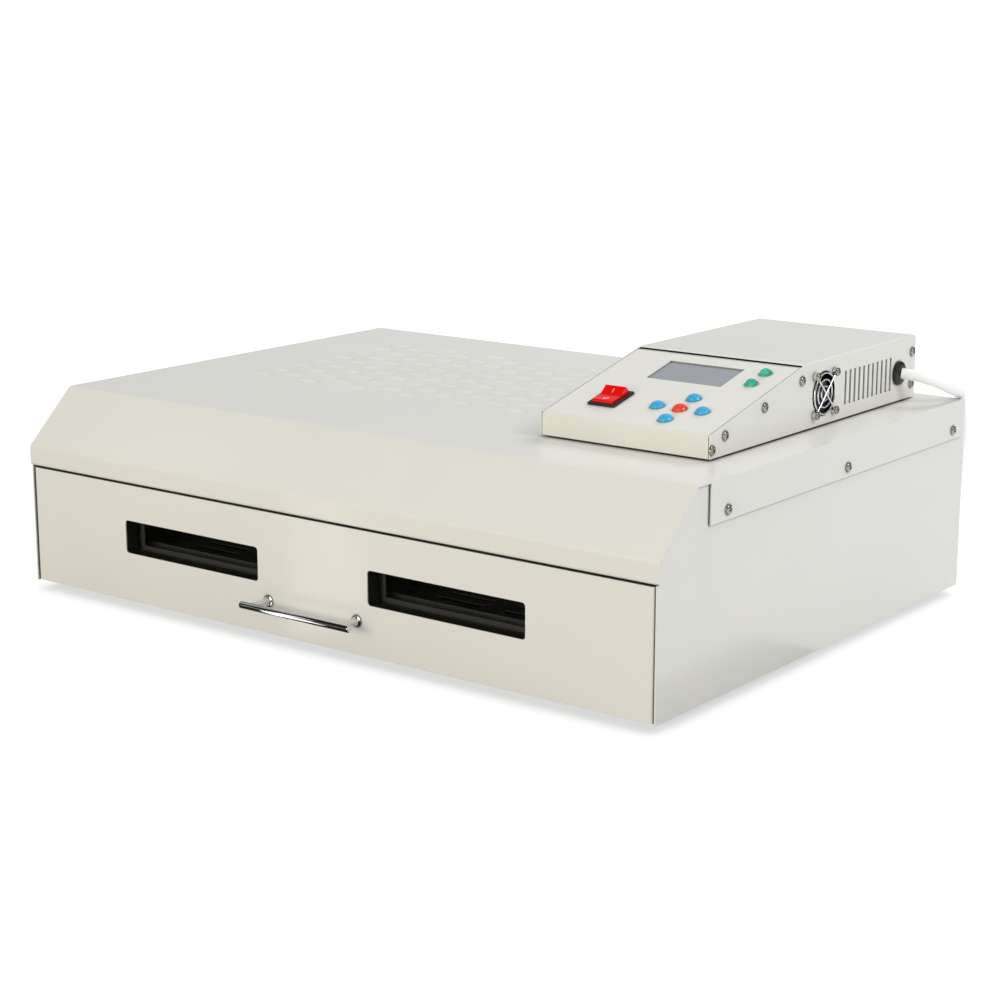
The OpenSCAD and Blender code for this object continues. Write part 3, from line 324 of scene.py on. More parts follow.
@dataclass(frozen=True)
class PowderCoat(Finish):
    """Polyester powder coat, baked on sheet steel: a half-gloss skin with a faint orange peel."""

    tone: str = "#DEDCD4"
    peel_mm: float = 1.8
    gloss: float = 0.35
    # Reach of the painted shade in narrow joints and recesses.
    shade_reach_mm: float = 2.2

    def shade(self, skin: Skin) -> None:
        """Adds the gloss, the peel, a hardly visible cloud and painted shade that darkens the
        colour in narrow joints and recesses.
        """
        skin.put("Coat Weight", self.gloss)
        skin.put("Coat Roughness", 0.12)
        peel = skin.noise(self.peel_mm, 1.5, 0.45)
        cloud = skin.noise(140, 2.0)
        tones = skin.tones(cloud, self.tone)
        # Painted shade: the colour darkens where other surfaces are near, in joints, slots and
        # recesses.
        unshaded_share = openness(skin.tree, self.shade_reach_mm, 6, (0.5, 0.1), (0.93, 1.0))
        shaded_tones = add(skin.tree, "VectorMath", {0: tones, "Scale": unshaded_share}, operation="SCALE")
        skin.link(shaded_tones.outputs["Vector"], "Base Color")
        skin.vary_gloss(peel, 0.03)
        skin.relief(peel, 0.05, 0.4)


@dataclass(frozen=True)
class ZincSheet(Finish):
    """Zinc-plated sheet steel: dull grey metal with a flowered spangle."""

    spangle_mm: float = 9.0

    def shade(self, skin: Skin) -> None:
        """Adds the spangle, which changes tone and gloss from crystal to crystal."""
        skin.put("Metallic", 1.0)
        flowers = add(skin.tree, "TexVoronoi", {
            "Vector": skin.place, "Scale": per_mm(self.spangle_mm), "Randomness": 1.0,
        })
        cell = add(skin.tree, "SeparateColor", {"Color": flowers.outputs["Color"]})
        grit = skin.noise(0.8, 2.0)
        skin.tint(cell.outputs["Red"], "#BFC2C4")
        skin.vary_gloss(cell.outputs["Green"], 0.07)
        skin.relief(grit, 0.02, 0.5)


@dataclass(frozen=True)
class BrushedSteel(Finish):
    """Stainless steel strip with the fine lines of its rolling."""

    grain: Axis = Axis.X
    metal: float = 1.0

    def shade(self, skin: Skin) -> None:
        """Adds lines that run along the grain."""
        skin.put("Metallic", self.metal)
        skin.draw_out(self.grain)
        lines = skin.noise(30, 4.0, 0.6)
        skin.tint(lines, "#C9CBCD", 0.06)
        skin.relief(lines, 0.02, 0.6)


@dataclass(frozen=True)
class ChromePlate(Finish):
    """Bright chromium or nickel over polished steel: a mirror with a trace of polishing haze."""

    tone: str = "#E4E5E6"

    def shade(self, skin: Skin) -> None:
        """Adds the haze."""
        skin.put("Metallic", 1.0)
        haze = skin.noise(4, 3.0, 0.6)
        skin.tint(haze, self.tone, 0.025)


@dataclass(frozen=True)
class SoftRubber(Finish):
    """Moulded rubber: matt, with a dusty bloom and a fine pebble."""

    dust: str = "#262627"

    def shade(self, skin: Skin) -> None:
        """Adds the bloom and the pebble."""
        bloom = skin.noise(7, 3.0)
        pebble = skin.noise(0.5, 2.0)
        skin.tint(bloom, self.dust, 0.06)
        skin.relief(pebble, 0.04, 0.6)


@dataclass(frozen=True)
class MouldedPlastic(Finish):
    """Injection-moulded ABS or polyamide, with the fine spark texture of its mould."""

    tone: str = "#1C1C1F"
    spark_mm: float = 0.35
    spark_depth: float = 0.015

    def shade(self, skin: Skin) -> None:
        """Adds the spark texture and flow marks."""
        skin.put("IOR", 1.49)
        spark = skin.noise(self.spark_mm, 2.0)
        flow = skin.noise(11, 1.0)
        skin.tint(flow, self.tone, 0.03)
        skin.relief(spark, self.spark_depth, 0.5)


@dataclass(frozen=True)
class TintedLens(Finish):
    """Coloured polycarbonate that light passes into: deep in its body and bright at its edges."""

    deep: str
    passes: float
    coat: float = 0.0

    def shade(self, skin: Skin) -> None:
        """Adds a cloudy depth under a smooth, shiny skin."""
        skin.put("IOR", 1.58)
        skin.put("Transmission Weight", self.passes)
        skin.put("Specular IOR Level", 0.35)
        skin.put("Coat Weight", self.coat)
        skin.put("Coat Roughness", 0.04)
        depth = skin.noise(5, 1.0)
        skin.tint(depth, self.deep, 0.03)


@dataclass(frozen=True)
class OvenGlass(Finish):
    """Smoked, heat-proof flat glass: it mirrors the room and lets little light through."""

    shows: float = 0.3

    def shade(self, skin: Skin) -> None:
        """Adds a hardly visible film of soot."""
        skin.put("Alpha", self.shows)
        skin.put("Specular IOR Level", 0.1)
        film = skin.noise(22, 3.0)
        skin.tint(film, "#0E0F0D", 0.02)


@dataclass(frozen=True)
class DisplayPane(Finish):
    """Clear acrylic over a liquid crystal panel that is off: flat blue grey under a gloss."""

    tone: str = "#94979C"

    def shade(self, skin: Skin) -> None:
        """Adds the slow change of tone of the liquid crystal."""
        skin.put("Coat Weight", 0.5)
        skin.put("Coat Roughness", 0.04)
        cloud = skin.noise(60, 0.0)
        skin.tint(cloud, self.tone, 0.02)


@dataclass(frozen=True)
class CircuitBoard(Finish):
    """Green solder mask over copper tracks."""

    def shade(self, skin: Skin) -> None:
        """Adds the tracks as raised, lighter lines."""
        tracks = add(skin.tree, "TexBrick", {
            "Vector": skin.place, "Scale": per_mm(8), "Color1": linear(self.colour),
            "Color2": linear("#14532E"), "Mortar": linear("#2F7D4C"), "Mortar Size": 0.06,
        })
        skin.link(tracks.outputs["Color"], "Base Color")
        skin.relief(tracks.outputs["Fac"], 0.05, 0.6)


@dataclass(frozen=True)
class FiredCeramic(Finish):
    """Unglazed steatite: warm white, close-grained and matt."""

    def shade(self, skin: Skin) -> None:
        """Adds its grain."""
        grain = skin.noise(0.9, 4.0)
        skin.tint(grain, "#F3EFE4")
        skin.relief(grain, 0.03, 0.7)


@dataclass(frozen=True)
class MilkyQuartz(Finish):
    """Fused quartz tube, milky from its bubbles, which hides most of the heating coil."""

    def shade(self, skin: Skin) -> None:
        """Adds drawn bubbles along the tube."""
        skin.put("IOR", 1.46)
        skin.put("Alpha", 0.72)
        skin.draw_out(Axis.X)
        bubbles = skin.noise(60, 3.0)
        skin.tint(bubbles, "#F6F2EA", 0.05)


@dataclass(frozen=True)
class MineralWool(Finish):
    """Needled mineral wool: tangled cream fibres."""

    def shade(self, skin: Skin) -> None:
        """Adds the tangle."""
        skin.put("Sheen Weight", 0.4)
        tangle = skin.noise(3, 6.0, 0.75, 1.6)
        skin.tint(tangle, "#F2EDDD")
        skin.relief(tangle, 1.2, 0.8)


@dataclass(frozen=True)
class PvcSheath(Finish):
    """Extruded white PVC: satin, with faint draw lines and the soft gloss of plasticiser."""

    def shade(self, skin: Skin) -> None:
        """Adds a soft unevenness."""
        skin.put("Subsurface Weight", 0.08)
        skin.put("Subsurface Radius", (1.6 * MM, 1.4 * MM, 1.2 * MM))
        wave = skin.noise(9, 2.0)
        fine = skin.noise(0.7, 2.0)
        skin.tint(wave, "#F1F1EF", 0.04)
        skin.relief(fine, 0.02, 0.5)


@dataclass(frozen=True)
class PrintedInk(Finish):
    """Pad-printed ink: opaque, matt and a little uneven."""

    def shade(self, skin: Skin) -> None:
        """Adds the ink's unevenness."""
        blots = skin.noise(0.6, 3.0)
        skin.tint(blots, "#F8D8C0")
        skin.relief(blots, 0.01, 0.4)


IVORY = PowderCoat("ivory_powder_coat", "#DBDAD2", 0.36)
BLACK_COAT = PowderCoat("black_powder_coat", "#1D1C14", 0.3, "#25241A")
GREY_COAT = PowderCoat("grey_heat_coat", "#787974", 0.4, "#80817B", shade_reach_mm=0.2)
ZINC = ZincSheet("zinc_plated_sheet", "#9A9DA0", 0.42)
STAINLESS = BrushedSteel("stainless_strip", "#A5A7A9", 0.3)
TRAY_STEEL = BrushedSteel("scaled_tray_sheet", "#B4B6B5", 0.3, Axis.Y, 0.75)
MIRROR_ALUMINIUM = BrushedSteel("bright_rolled_aluminium", "#D2D4D5", 0.16)
SINK_ALUMINIUM = BrushedSteel("extruded_aluminium", "#A8AAAD", 0.38, Axis.Y)
CHROME = ChromePlate("chrome_plate", "#D3D4D6", 0.07)
SCREW_ZINC = ChromePlate("zinc_plated_screws", "#9C9A90", 0.17, "#ACAAA0")
NICKEL = ChromePlate("nickel_plated_brass", "#C9C6B8", 0.18)
RUBBER = SoftRubber("black_rubber", "#161617", 0.62)
BUSHING_RUBBER = SoftRubber("smooth_bushing_rubber", "#0A0A0B", 0.34, "#111112")
BLACK_PLASTIC = MouldedPlastic("black_polyamide", "#141415", 0.36)
PARTS_PLASTIC = MouldedPlastic("component_epoxy", "#202123", 0.5, "#2A2B2E")
BLUE_KEY = MouldedPlastic("blue_gloss_abs", "#3BA5D0", 0.14, "#43ABD6", 3.0, 0.01)
RED_KEY = MouldedPlastic("red_gloss_abs", "#E2402B", 0.14, "#E84A33", 3.0, 0.01)
SWITCH_RED = TintedLens("red_polycarbonate", "#EA0A05", 0.16, "#DC0603", 0.04)
LAMP_GREEN = TintedLens("green_polycarbonate", "#4FD0B2", 0.08, "#2F9F86", 0.2, 0.8)
SMOKED_GLASS = OvenGlass("smoked_oven_glass", "#090A09", 0.04)
DISPLAY = DisplayPane("display_acrylic", "#8C9095", 0.12)
BOARD = CircuitBoard("green_circuit_board", "#175E34", 0.3)
CERAMIC = FiredCeramic("steatite_ceramic", "#E8E3D5", 0.6)
QUARTZ = MilkyQuartz("milky_quartz", "#E6DFD3", 0.12)
WOOL = MineralWool("mineral_wool", "#D9D2BE", 0.95)
PVC = PvcSheath("white_pvc", "#E9E9E7", 0.34)
INK = PrintedInk("cream_ink", "#F2CDB2", 0.5)


def into_scene(name: str, data: ID) -> Object:
    """Makes an object and links it to the scene.

    Args:
        name: The object's name.
        data: Its mesh, curve, lamp or camera.

    Returns:
        The object.
    """
    made = bpy.data.objects.new(name, data)
    bpy.context.scene.collection.objects.link(made)
    return made


def mesh_object(name: str, bm: BMesh, paint: Material) -> Object:
    """Turns a bmesh into an object of the scene.

    Args:
        name: The object's name.
        bm: Its shape, in place. It is freed.
        paint: Its material.

    Returns:
        The object.
    """
    mesh = bpy.data.meshes.new(name)
    bm.to_mesh(mesh)
    bm.free()
    mesh.materials.append(paint)
    return into_scene(name, mesh)


def piece(
    name: str, like: str, finish: Finish, bm: BMesh, replaces: Sequence[str] = (),
    crease: float | None = CREASE,
) -> Object:
    """Makes an object of the scene from a finished bmesh, and hooks it to its body.

    Args:
        name: The piece's name.
        like: CAD node whose body it rides on.
        finish: Its finish.
        bm: Its shape, in place. It is freed.
        replaces: CAD nodes that it stands for.
        crease: Angle in degrees past which an edge is sharp, or None where it gets a bevel.

    Returns:
        The object.
    """
    for face in bm.faces:
        face.smooth = True
    if crease is not None:
        for edge in bm.edges:
            sides = len(edge.link_faces)
            edge.smooth = sides == 2 and edge.calc_face_angle() < math.radians(crease)
    made = mesh_object(name, bm, finish.material())
    body, slot = BODY_OF[like], SLOT_OF[like]
    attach(made, body)
    if replaces:
        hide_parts(*replaces)
    return made


def from_cad(node: str) -> BMesh:
    """Copies a CAD node's mesh and joins its loose triangles into whole faces.

    Args:
        node: The node's name.

    Returns:
        The joined copy.
    """
    bm = bmesh.new()
    bm.from_mesh(frame["nodes"][node].data)
    bmesh.ops.remove_doubles(bm, verts=bm.verts, dist=0.002 * MM)
    bmesh.ops.dissolve_limit(
        bm, angle_limit=math.radians(0.3), use_dissolve_boundaries=False, verts=bm.verts,
        edges=bm.edges, delimit=set(),
    )
    return bm


def refined(node: str, finish: Finish, edge_mm: float) -> Object:
    """Stands in for a CAD node with a copy whose edges are broken and whose bends shade smoothly.

    Args:
        node: The node's name.
        finish: The piece's finish.
        edge_mm: Width of the bevel on its sharp edges, or 0 for none.

    Returns:
        The new piece.
    """
    crease = None if edge_mm else CREASE
    made = piece(f"{node}_dressed", node, finish, from_cad(node), [node], crease)
    if edge_mm:
        bevel = made.modifiers.new("broken_edges", "BEVEL")
        bevel.width = edge_mm * MM
        bevel.segments = 2
        bevel.limit_method = "ANGLE"
        bevel.angle_limit = math.radians(32)
        bevel.use_clamp_overlap = True
    return flattened(made)


def flattened(made: Object) -> Object:
    """Lets a piece's large faces shade flat and leaves the turn of the light to its bevels.

    Args:
        made: The piece.

    Returns:
        The same piece.
    """
    flat = made.modifiers.new("flat_faces", "WEIGHTED_NORMAL")
    flat.keep_sharp = True
    flat.weight = 60
    return made


def refine(finish: Finish, edge_mm: float, *nodes: str) -> None:
    """Refines several CAD nodes alike."""
    for node in nodes:
        refined(node, finish, edge_mm)


def dressed(node: str, finish: Finish) -> None:
    """Gives a CAD node that stays as it is its finish."""
    for slot in frame["nodes"][node].material_slots:
        slot.material = finish.material()


def turned(profile: Sequence[Pair], steps: int) -> BMesh:
    """Spins a profile round Z into a closed shape.

    Args:
        profile: Radius and height of each point, in millimetres, from one end to the other.
        steps: Number of steps of the full turn.

    Returns:
        The turned shape, with its normals outwards.
    """
    bm = bmesh.new()
    points = [bm.verts.new((r * MM, 0.0, z * MM)) for r, z in profile]
    lines = [bm.edges.new(pair) for pair in zip(points, points[1:])]
    bmesh.ops.spin(
        bm, geom=points + lines, cent=(0, 0, 0), axis=(0, 0, 1), dvec=(0, 0, 0),
        angle=math.tau, steps=steps, use_merge=True, use_duplicate=False,
    )
    bmesh.ops.remove_doubles(bm, verts=bm.verts, dist=0.001 * MM)
    bmesh.ops.recalc_face_normals(bm, faces=bm.faces)
    return bm


def arc(centre: Pair, radii: Pair, start: float, end: float, steps: int) -> list[Pair]:
    """Gives the points of an elliptic arc of a profile.

    Args:
        centre: Its centre.
        radii: Its half widths across and up.
        start: Angle of its first point, in degrees.
        end: Angle of its last point.
        steps: Number of steps between them.

    Returns:
        The points.
    """
    angles = [math.radians(start + (end - start) * k / steps) for k in range(steps + 1)]
    across, up = radii
    return [(centre[0] + across * math.cos(a), centre[1] + up * math.sin(a)) for a in angles]


def merged(parts: Sequence[BMesh]) -> BMesh:
    """Joins several shapes into one bmesh and frees them.

    Args:
        parts: The shapes.

    Returns:
        One bmesh that holds them all.
    """
    whole = bmesh.new()
    for part in parts:
        spare = bpy.data.meshes.new("spare")
        part.to_mesh(spare)
        part.free()
        whole.from_mesh(spare)
        bpy.data.meshes.remove(spare)
    return whole


def moved(bm: BMesh, place: Matrix) -> BMesh:
    """Moves a shape by a matrix and gives it back."""
    bmesh.ops.transform(bm, matrix=place, verts=bm.verts)
    return bm


def turn(degrees: float, axis: str) -> Matrix:
    """Gives a turn round an axis through the origin."""
    return Matrix.Rotation(math.radians(degrees), 4, axis)


def shift(x: float, y: float, z: float) -> Matrix:
    """Gives a move by so many millimetres."""
    return Matrix.Translation(Vector((x, y, z)) * MM)


def block(size: Point, edge_mm: float, steps: int = 1) -> BMesh:
    """Makes a block with broken edges about the origin.

    Args:
        size: Its three sizes, in millimetres.
        edge_mm: Width of the bevel.
        steps: Number of steps of the bevel.

    Returns:
        The block.
    """
    bm = bmesh.new()
    bmesh.ops.create_cube(bm, size=1.0, matrix=Matrix.Diagonal((*(s * MM for s in size), 1)))
    bmesh.ops.bevel(
        bm, geom=bm.edges[:], offset=edge_mm * MM, affect="EDGES", segments=steps, profile=0.5,
        material=-1,
    )
    return bm


@dataclass
class Cabinet:
    """The sheet metal of the cabinet: its hood, sides, back, floor, feet and screws."""

    def build(self) -> None:
        """Dresses the sheets, the feet and the screws."""
        refine(IVORY, 0.35, "hood", "side_panel_left", "side_panel_right", "rear_panel")
        refine(ZINC, 0.25, "base_pan")
        refine(RUBBER, 0.4, "feet")
        refine(SCREW_ZINC, 0.12, "hood_screws", "rear_screws")


@dataclass
class HeatingChamber:
    """The lined chamber under the hood, with its quartz tubes and their coiled wires."""

    coil_d: float = 5.2
    wire_d: float = 0.7
    turn_mm: float = 6.0
    points_per_turn: int = 8
    tube_end: float = 12.0

    def build(self) -> None:
        """Dresses the linings and winds the heating wires."""
        refine(ZINC, 0.25, "liner_left", "liner_right", "liner_rear")
        refine(MIRROR_ALUMINIUM, 0.2, "reflector")
        dressed("insulation", WOOL)
        refine(CERAMIC, 0.3, "tube_holders")
        refine(STAINLESS, 0.2, "thermocouples")
        refine(QUARTZ, 0.0, "ir_tubes")
        self.wind_wires()

    def wind_wires(self) -> None:
        """Winds one coiled resistance wire inside each quartz tube."""
        low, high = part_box("ir_tubes")
        middle = (low[2] + high[2]) / 2
        places = self.tube_places()
        reach = high[0] - self.tube_end * MM
        turns = int(2 * reach / (self.turn_mm * MM))
        total = turns * self.points_per_turn
        line = bpy.data.curves.new("heating_wires", "CURVE")
        line.dimensions = "3D"
        line.bevel_depth = self.wire_d / 2 * MM
        line.bevel_resolution = 1
        line.resolution_u = 1
        for y in places:
            spline = line.splines.new("POLY")
            spline.points.add(total)
            for k, point in enumerate(spline.points):
                angle = math.tau * k / self.points_per_turn
                point.co = (
                    -reach + 2 * reach * k / total,
                    y + self.coil_d / 2 * MM * math.cos(angle),
                    middle + self.coil_d / 2 * MM * math.sin(angle),
                    1.0,
                )
        line.materials.append(STAINLESS.material())
        made = into_scene("heating_wires", line)
        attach(made, BODY_OF["ir_tubes"])
        LOG.info("wound %d heating wires", len(places))

    def tube_places(self) -> list[float]:
        """Finds the middle of each quartz tube across Y from the CAD mesh.

        Returns:
            The places, from the front to the back.
        """
        low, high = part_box("ir_tubes")
        across = high[2] - low[2]
        found: list[float] = []
        for y in sorted(v.co.y for v in frame["nodes"]["ir_tubes"].data.vertices):
            if not found or y - found[-1] > 2 * across:
                found.append(y)
        return [y + across / 2 for y in found]


@dataclass
class Drawer:
    """The drawer: its windowed front, the chromed handle, the slotted tray and its rails."""

    handle_pitch: float = 96.0
    handle_l: float = 118.0
    bar_d: float = 6.0
    post_d: float = 5.5
    foot_d: float = 10.0
    reach: float = 21.48
    handle_z: float = 29.0

    def build(self) -> None:
        """Dresses the sheets and the glass, and makes the handle."""
        refine(IVORY, 0.35, "drawer_front")
        refine(GREY_COAT, 0.3, "drawer_inner")
        refine(BLACK_COAT, 0.3, "window_frames")
        refine(SMOKED_GLASS, 0.3, "window_glass")
        refine(CHROME, 0.12, "handle_screws")
        refine(TRAY_STEEL, 0.3, "tray")
        refine(ZINC, 0.2, "drawer_rails", "drawer_back_rail")
        self.handle()

    def handle(self) -> None:
        """Turns the bar and its two posts with their flared feet."""
        rod, half = self.bar_d / 2, self.handle_l / 2
        bar = turned([
            (0, -half), *arc((rod - 1, 1 - half), (1, 1), -90, 0, 6),
            *arc((rod - 1, half - 1), (1, 1), 0, 90, 6), (0, half),
        ], 40)
        moved(bar, Matrix.Translation(cab(0, -self.reach, self.handle_z)) @ turn(90, "Y"))
        neck, foot, end = self.post_d / 2, self.foot_d / 2, self.reach - 0.5
        flare = [
            (neck + (foot - 0.6 - neck) * (1 - math.sin(a)), 1.4 + 5 * (1 - math.cos(a)))
            for a in (math.radians(90 * k / 14) for k in range(15))
        ]
        profile = [
            (0, 0), (foot - 0.2, 0), (foot, 0.2), (foot, 1.0), (foot - 0.2, 1.2), *flare,
            (neck, end), (0, end),
        ]
        parts = [bar]
        for side in (-1, 1):
            place = Matrix.Translation(cab(side * self.handle_pitch / 2, 0, self.handle_z))
            parts.append(moved(turned(profile, 40), place @ turn(90, "X")))
        piece("handle_chromed", "handle", CHROME, merged(parts), ["handle"])


@dataclass
class Runners:
    """The telescopic ball runners on both sides of the drawer."""

    def build(self) -> None:
        """Dresses the channels and the ball cages."""
        refine(ZINC, 0.15, "slide_outer", "slide_middle", "slide_inner")
        refine(STAINLESS, 0.0, "outer_cage", "inner_cage")


@dataclass
class ControlBox:
    """The box on the roof: its sheets, display, keys, lamps, power switch and boards."""

    left: float = 136.5
    front: float = 126.0
    lip_z: float = 190.0
    rise: float = 35.5
    slope: float = 145.5
    key_d: float = 12.0
    key_pitch: float = 21.0
    key_at: Pair = (108.5, 38.0)
    lamp_d: float = 10.0
    lamp_at: Pair = (137.5, 99.0)
    lamp_pitch: float = 22.5
    rocker_at: Pair = (42.0, 39.5)
    rocker_tilt: float = 11.0
    pivot_n: float = -1.0
    paddle_r: float = 12.5
    paddle_half: float = 9.85
    paddle_top: float = 7.2
    paddle_dip: float = 4.6
    paddle_foot: float = 7.0
    paddle_grid: tuple[int, float] = (38, 0.97)
    mark_at: float = 5.6
    mark_bar: Pair = (0.55, 4.4)
    mark_ring: Pair = (1.75, 2.35)
    ink: float = 0.1

    def panel(self, u: float, s: float, n: float = 0.0) -> Matrix:
        """Gives the place of a point on the sloped panel.

        Args:
            u: Distance from the panel's left edge.
            s: Distance up the slope from its lower bend.
            n: Height out of its face.

        Returns:
            A matrix whose Z axis stands on the panel.
        """
        lean = Matrix.Rotation(math.atan2(self.rise, self.slope), 4, "X")
        base = Matrix.Translation(cab(self.left, self.front, self.lip_z))
        return base @ lean @ shift(u, s, n)

    def build(self) -> None:
        """Dresses the sheets and makes what the panel carries."""
        refine(IVORY, 0.3, "box_cover", "box_panel", "box_base")
        refine(ZINC, 0.2, "box_spacers")
        refine(SCREW_ZINC, 0.1, "box_screws")
        refine(DISPLAY, 0.15, "lcd_window")
        refine(BLACK_PLASTIC, 0.3, "lcd_module")
        refine(BOARD, 0.1, "key_board", "main_board")
        refine(PARTS_PLASTIC, 0.4, "board_parts")
        refine(SINK_ALUMINIUM, 0.3, "power_relays")
        refine(BLACK_PLASTIC, 0.45, "rocker_body")
        self.paddle()
        self.keys()
        self.lamps()
        self.switch_marks()

    def keys(self) -> None:
        """Turns the five domed key caps."""
        r = self.key_d / 2
        stem, flange, wall = 2.5, r + 1.3, 0.9
        profile = [
            (0, -8.7), (stem, -8.7), (stem, -3.5), (flange, -3.5), (flange, -1.5), (r, -1.5),
            (r, wall), *arc((r - 0.6, wall), (0.6, 0.6), 0, 45, 4),
            *arc((0, wall), (r - 0.3, 3.3), 12, 90, 18),
        ]
        for node, i, j in (
            ("button_left", -1, 0), ("button_right", 1, 0), ("button_up", 0, 1),
            ("button_down", 0, -1), ("button_centre", 0, 0),
        ):
            across, up = (at + step * self.key_pitch for at, step in zip(self.key_at, (i, j)))
            cap = moved(turned(profile, 56), self.panel(across, up))
            finish = RED_KEY if (i, j) == (0, 0) else BLUE_KEY
            piece(f"{node}_cap", node, finish, cap, [node])

    def lamps(self) -> None:
        """Makes the two pilot lamps: a rim, and a lens cut like a gem."""
        rim = self.lamp_d / 2 + 0.75
        socket = [
            (0, -14), (4.8, -14), (4.8, 0), (rim, 0), (rim, 0.7), (rim - 0.3, 1.0), (0, 1.0),
        ]
        parts = []
        for k in (0, 1):
            place = self.panel(self.lamp_at[0], self.lamp_at[1] + k * self.lamp_pitch)
            parts += [moved(turned(socket, 40), place), moved(self.gem(), place)]
        whole = merged(parts)
        piece("pilot_lamps_cut", "pilot_lamps", LAMP_GREEN, whole, ["pilot_lamps"], 8.0)

    def gem(self) -> BMesh:
        """Cuts one lens: rings of facets, each turned by half a facet.

        Returns:
            The lens, standing on the panel's face.
        """
        bm = bmesh.new()
        facets = 10
        radius = self.lamp_d / 2 * MM
        bmesh.ops.create_circle(bm, cap_ends=True, radius=radius, segments=facets)
        moved(bm, shift(0, 0, 0.9))
        top = bm.faces[:]
        for share, rise in ((0.96, 0.9), (0.74, 1.5), (0.4, 1.1)):
            grown = bmesh.ops.extrude_face_region(bm, geom=top)
            if top[0].is_valid:
                bmesh.ops.delete(bm, geom=top, context="FACES_ONLY")
            top = [g for g in grown["geom"] if isinstance(g, BMFace)]
            ring = top[0].verts[:]
            size = share * radius / math.hypot(ring[0].co.x, ring[0].co.y)
            place = shift(0, 0, rise) @ turn(180 / facets, "Z")
            place = place @ Matrix.Diagonal((size, size, 1, 1))
            bmesh.ops.transform(bm, matrix=place, verts=ring)
        bmesh.ops.triangulate(bm, faces=[f for f in bm.faces if len(f.verts) == 4])
        bmesh.ops.recalc_face_normals(bm, faces=bm.faces)
        return bm

    def paddle_place(self) -> Matrix:
        """Gives the place of the power switch's paddle, as it rests tilted to its lower half."""
        return self.panel(*self.rocker_at, self.pivot_n) @ turn(self.rocker_tilt, "X")

    def scoop(self, y: float) -> float:
        """Gives the height of the paddle's hollow top at a distance from its pivot."""
        reach = self.paddle_r * 0.8
        return self.paddle_dip + (self.paddle_top - self.paddle_dip) * (abs(y) / reach) ** 1.5

    def paddle(self) -> None:
        """Moulds the paddle: a drum round its pivot with a hollow top, and its two axle pins."""
        r = self.paddle_r
        drum = bmesh.new()
        steps, share = self.paddle_grid
        bmesh.ops.create_grid(drum, x_segments=steps, y_segments=1, size=share)
        for vert in drum.verts:
            y = r * math.sin(vert.co.x * math.pi / 2)
            rim = math.sqrt(r * r - y * y)
            z = min(self.scoop(y), rim) if vert.co.y > 0 else max(-self.paddle_foot, -rim)
            vert.co = Vector((-self.paddle_half, y, z)) * MM
        grown = bmesh.ops.extrude_face_region(drum, geom=drum.faces[:], use_keep_orig=True)
        far = [g for g in grown["geom"] if isinstance(g, BMVert)]
        bmesh.ops.translate(drum, vec=(2 * self.paddle_half * MM, 0, 0), verts=far)
        bmesh.ops.recalc_face_normals(drum, faces=drum.faces)
        rims = [
            e for e in drum.edges
            if abs(e.verts[0].co.x - e.verts[1].co.x) < 0.01 * MM
            and sum(abs(f.normal.x) > 0.9 for f in e.link_faces) == 1
        ]
        bmesh.ops.bevel(
            drum, geom=rims, offset=0.4 * MM, affect="EDGES", segments=3, profile=0.5, material=-1,
            clamp_overlap=True,
        )
        pin = self.paddle_half + 0.9
        pins = turned(
            [(0, -pin), (1.3, -pin), (1.5, 0.2 - pin), (1.5, pin - 0.2), (1.3, pin), (0, pin)], 24,
        )
        whole = moved(merged([drum, moved(pins, turn(90, "Y"))]), self.paddle_place())
        node = "rocker_paddle"
        flattened(piece(f"{node}_moulded", node, SWITCH_RED, whole, [node], 50.0))

    def switch_marks(self) -> None:
        """Prints the bar and the ring on the two halves of the power switch's paddle."""
        at = self.mark_at
        lean = math.degrees(math.atan2(self.scoop(at + 1) - self.scoop(at - 1), 2))
        lift = self.scoop(at) + 0.02
        inner, outer = self.mark_ring
        top = self.ink
        ring = turned([(inner, 0), (outer, 0), (outer, top), (inner, top), (inner, 0)], 40)
        moved(ring, self.paddle_place() @ shift(0, -at, lift) @ turn(-lean, "X"))
        bar = block((*self.mark_bar, top), 0.04)
        moved(bar, self.paddle_place() @ shift(0, at, lift + top / 2) @ turn(lean, "X"))
        piece("switch_marks", "rocker_paddle", INK, merged([ring, bar]))


@dataclass
class Ventilation:
    """The control box's side fan and the rear exhaust fan, with their wire guards."""

    def build(self) -> None:
        """Dresses housings, rotors and guards."""
        refine(BLACK_PLASTIC, 0.25, "fan_frame", "exhaust_fan_frame")
        refine(BLACK_PLASTIC, 0.12, "fan_rotor", "exhaust_rotor")
        refine(CHROME, 0.0, "fan_guard", "exhaust_guard")


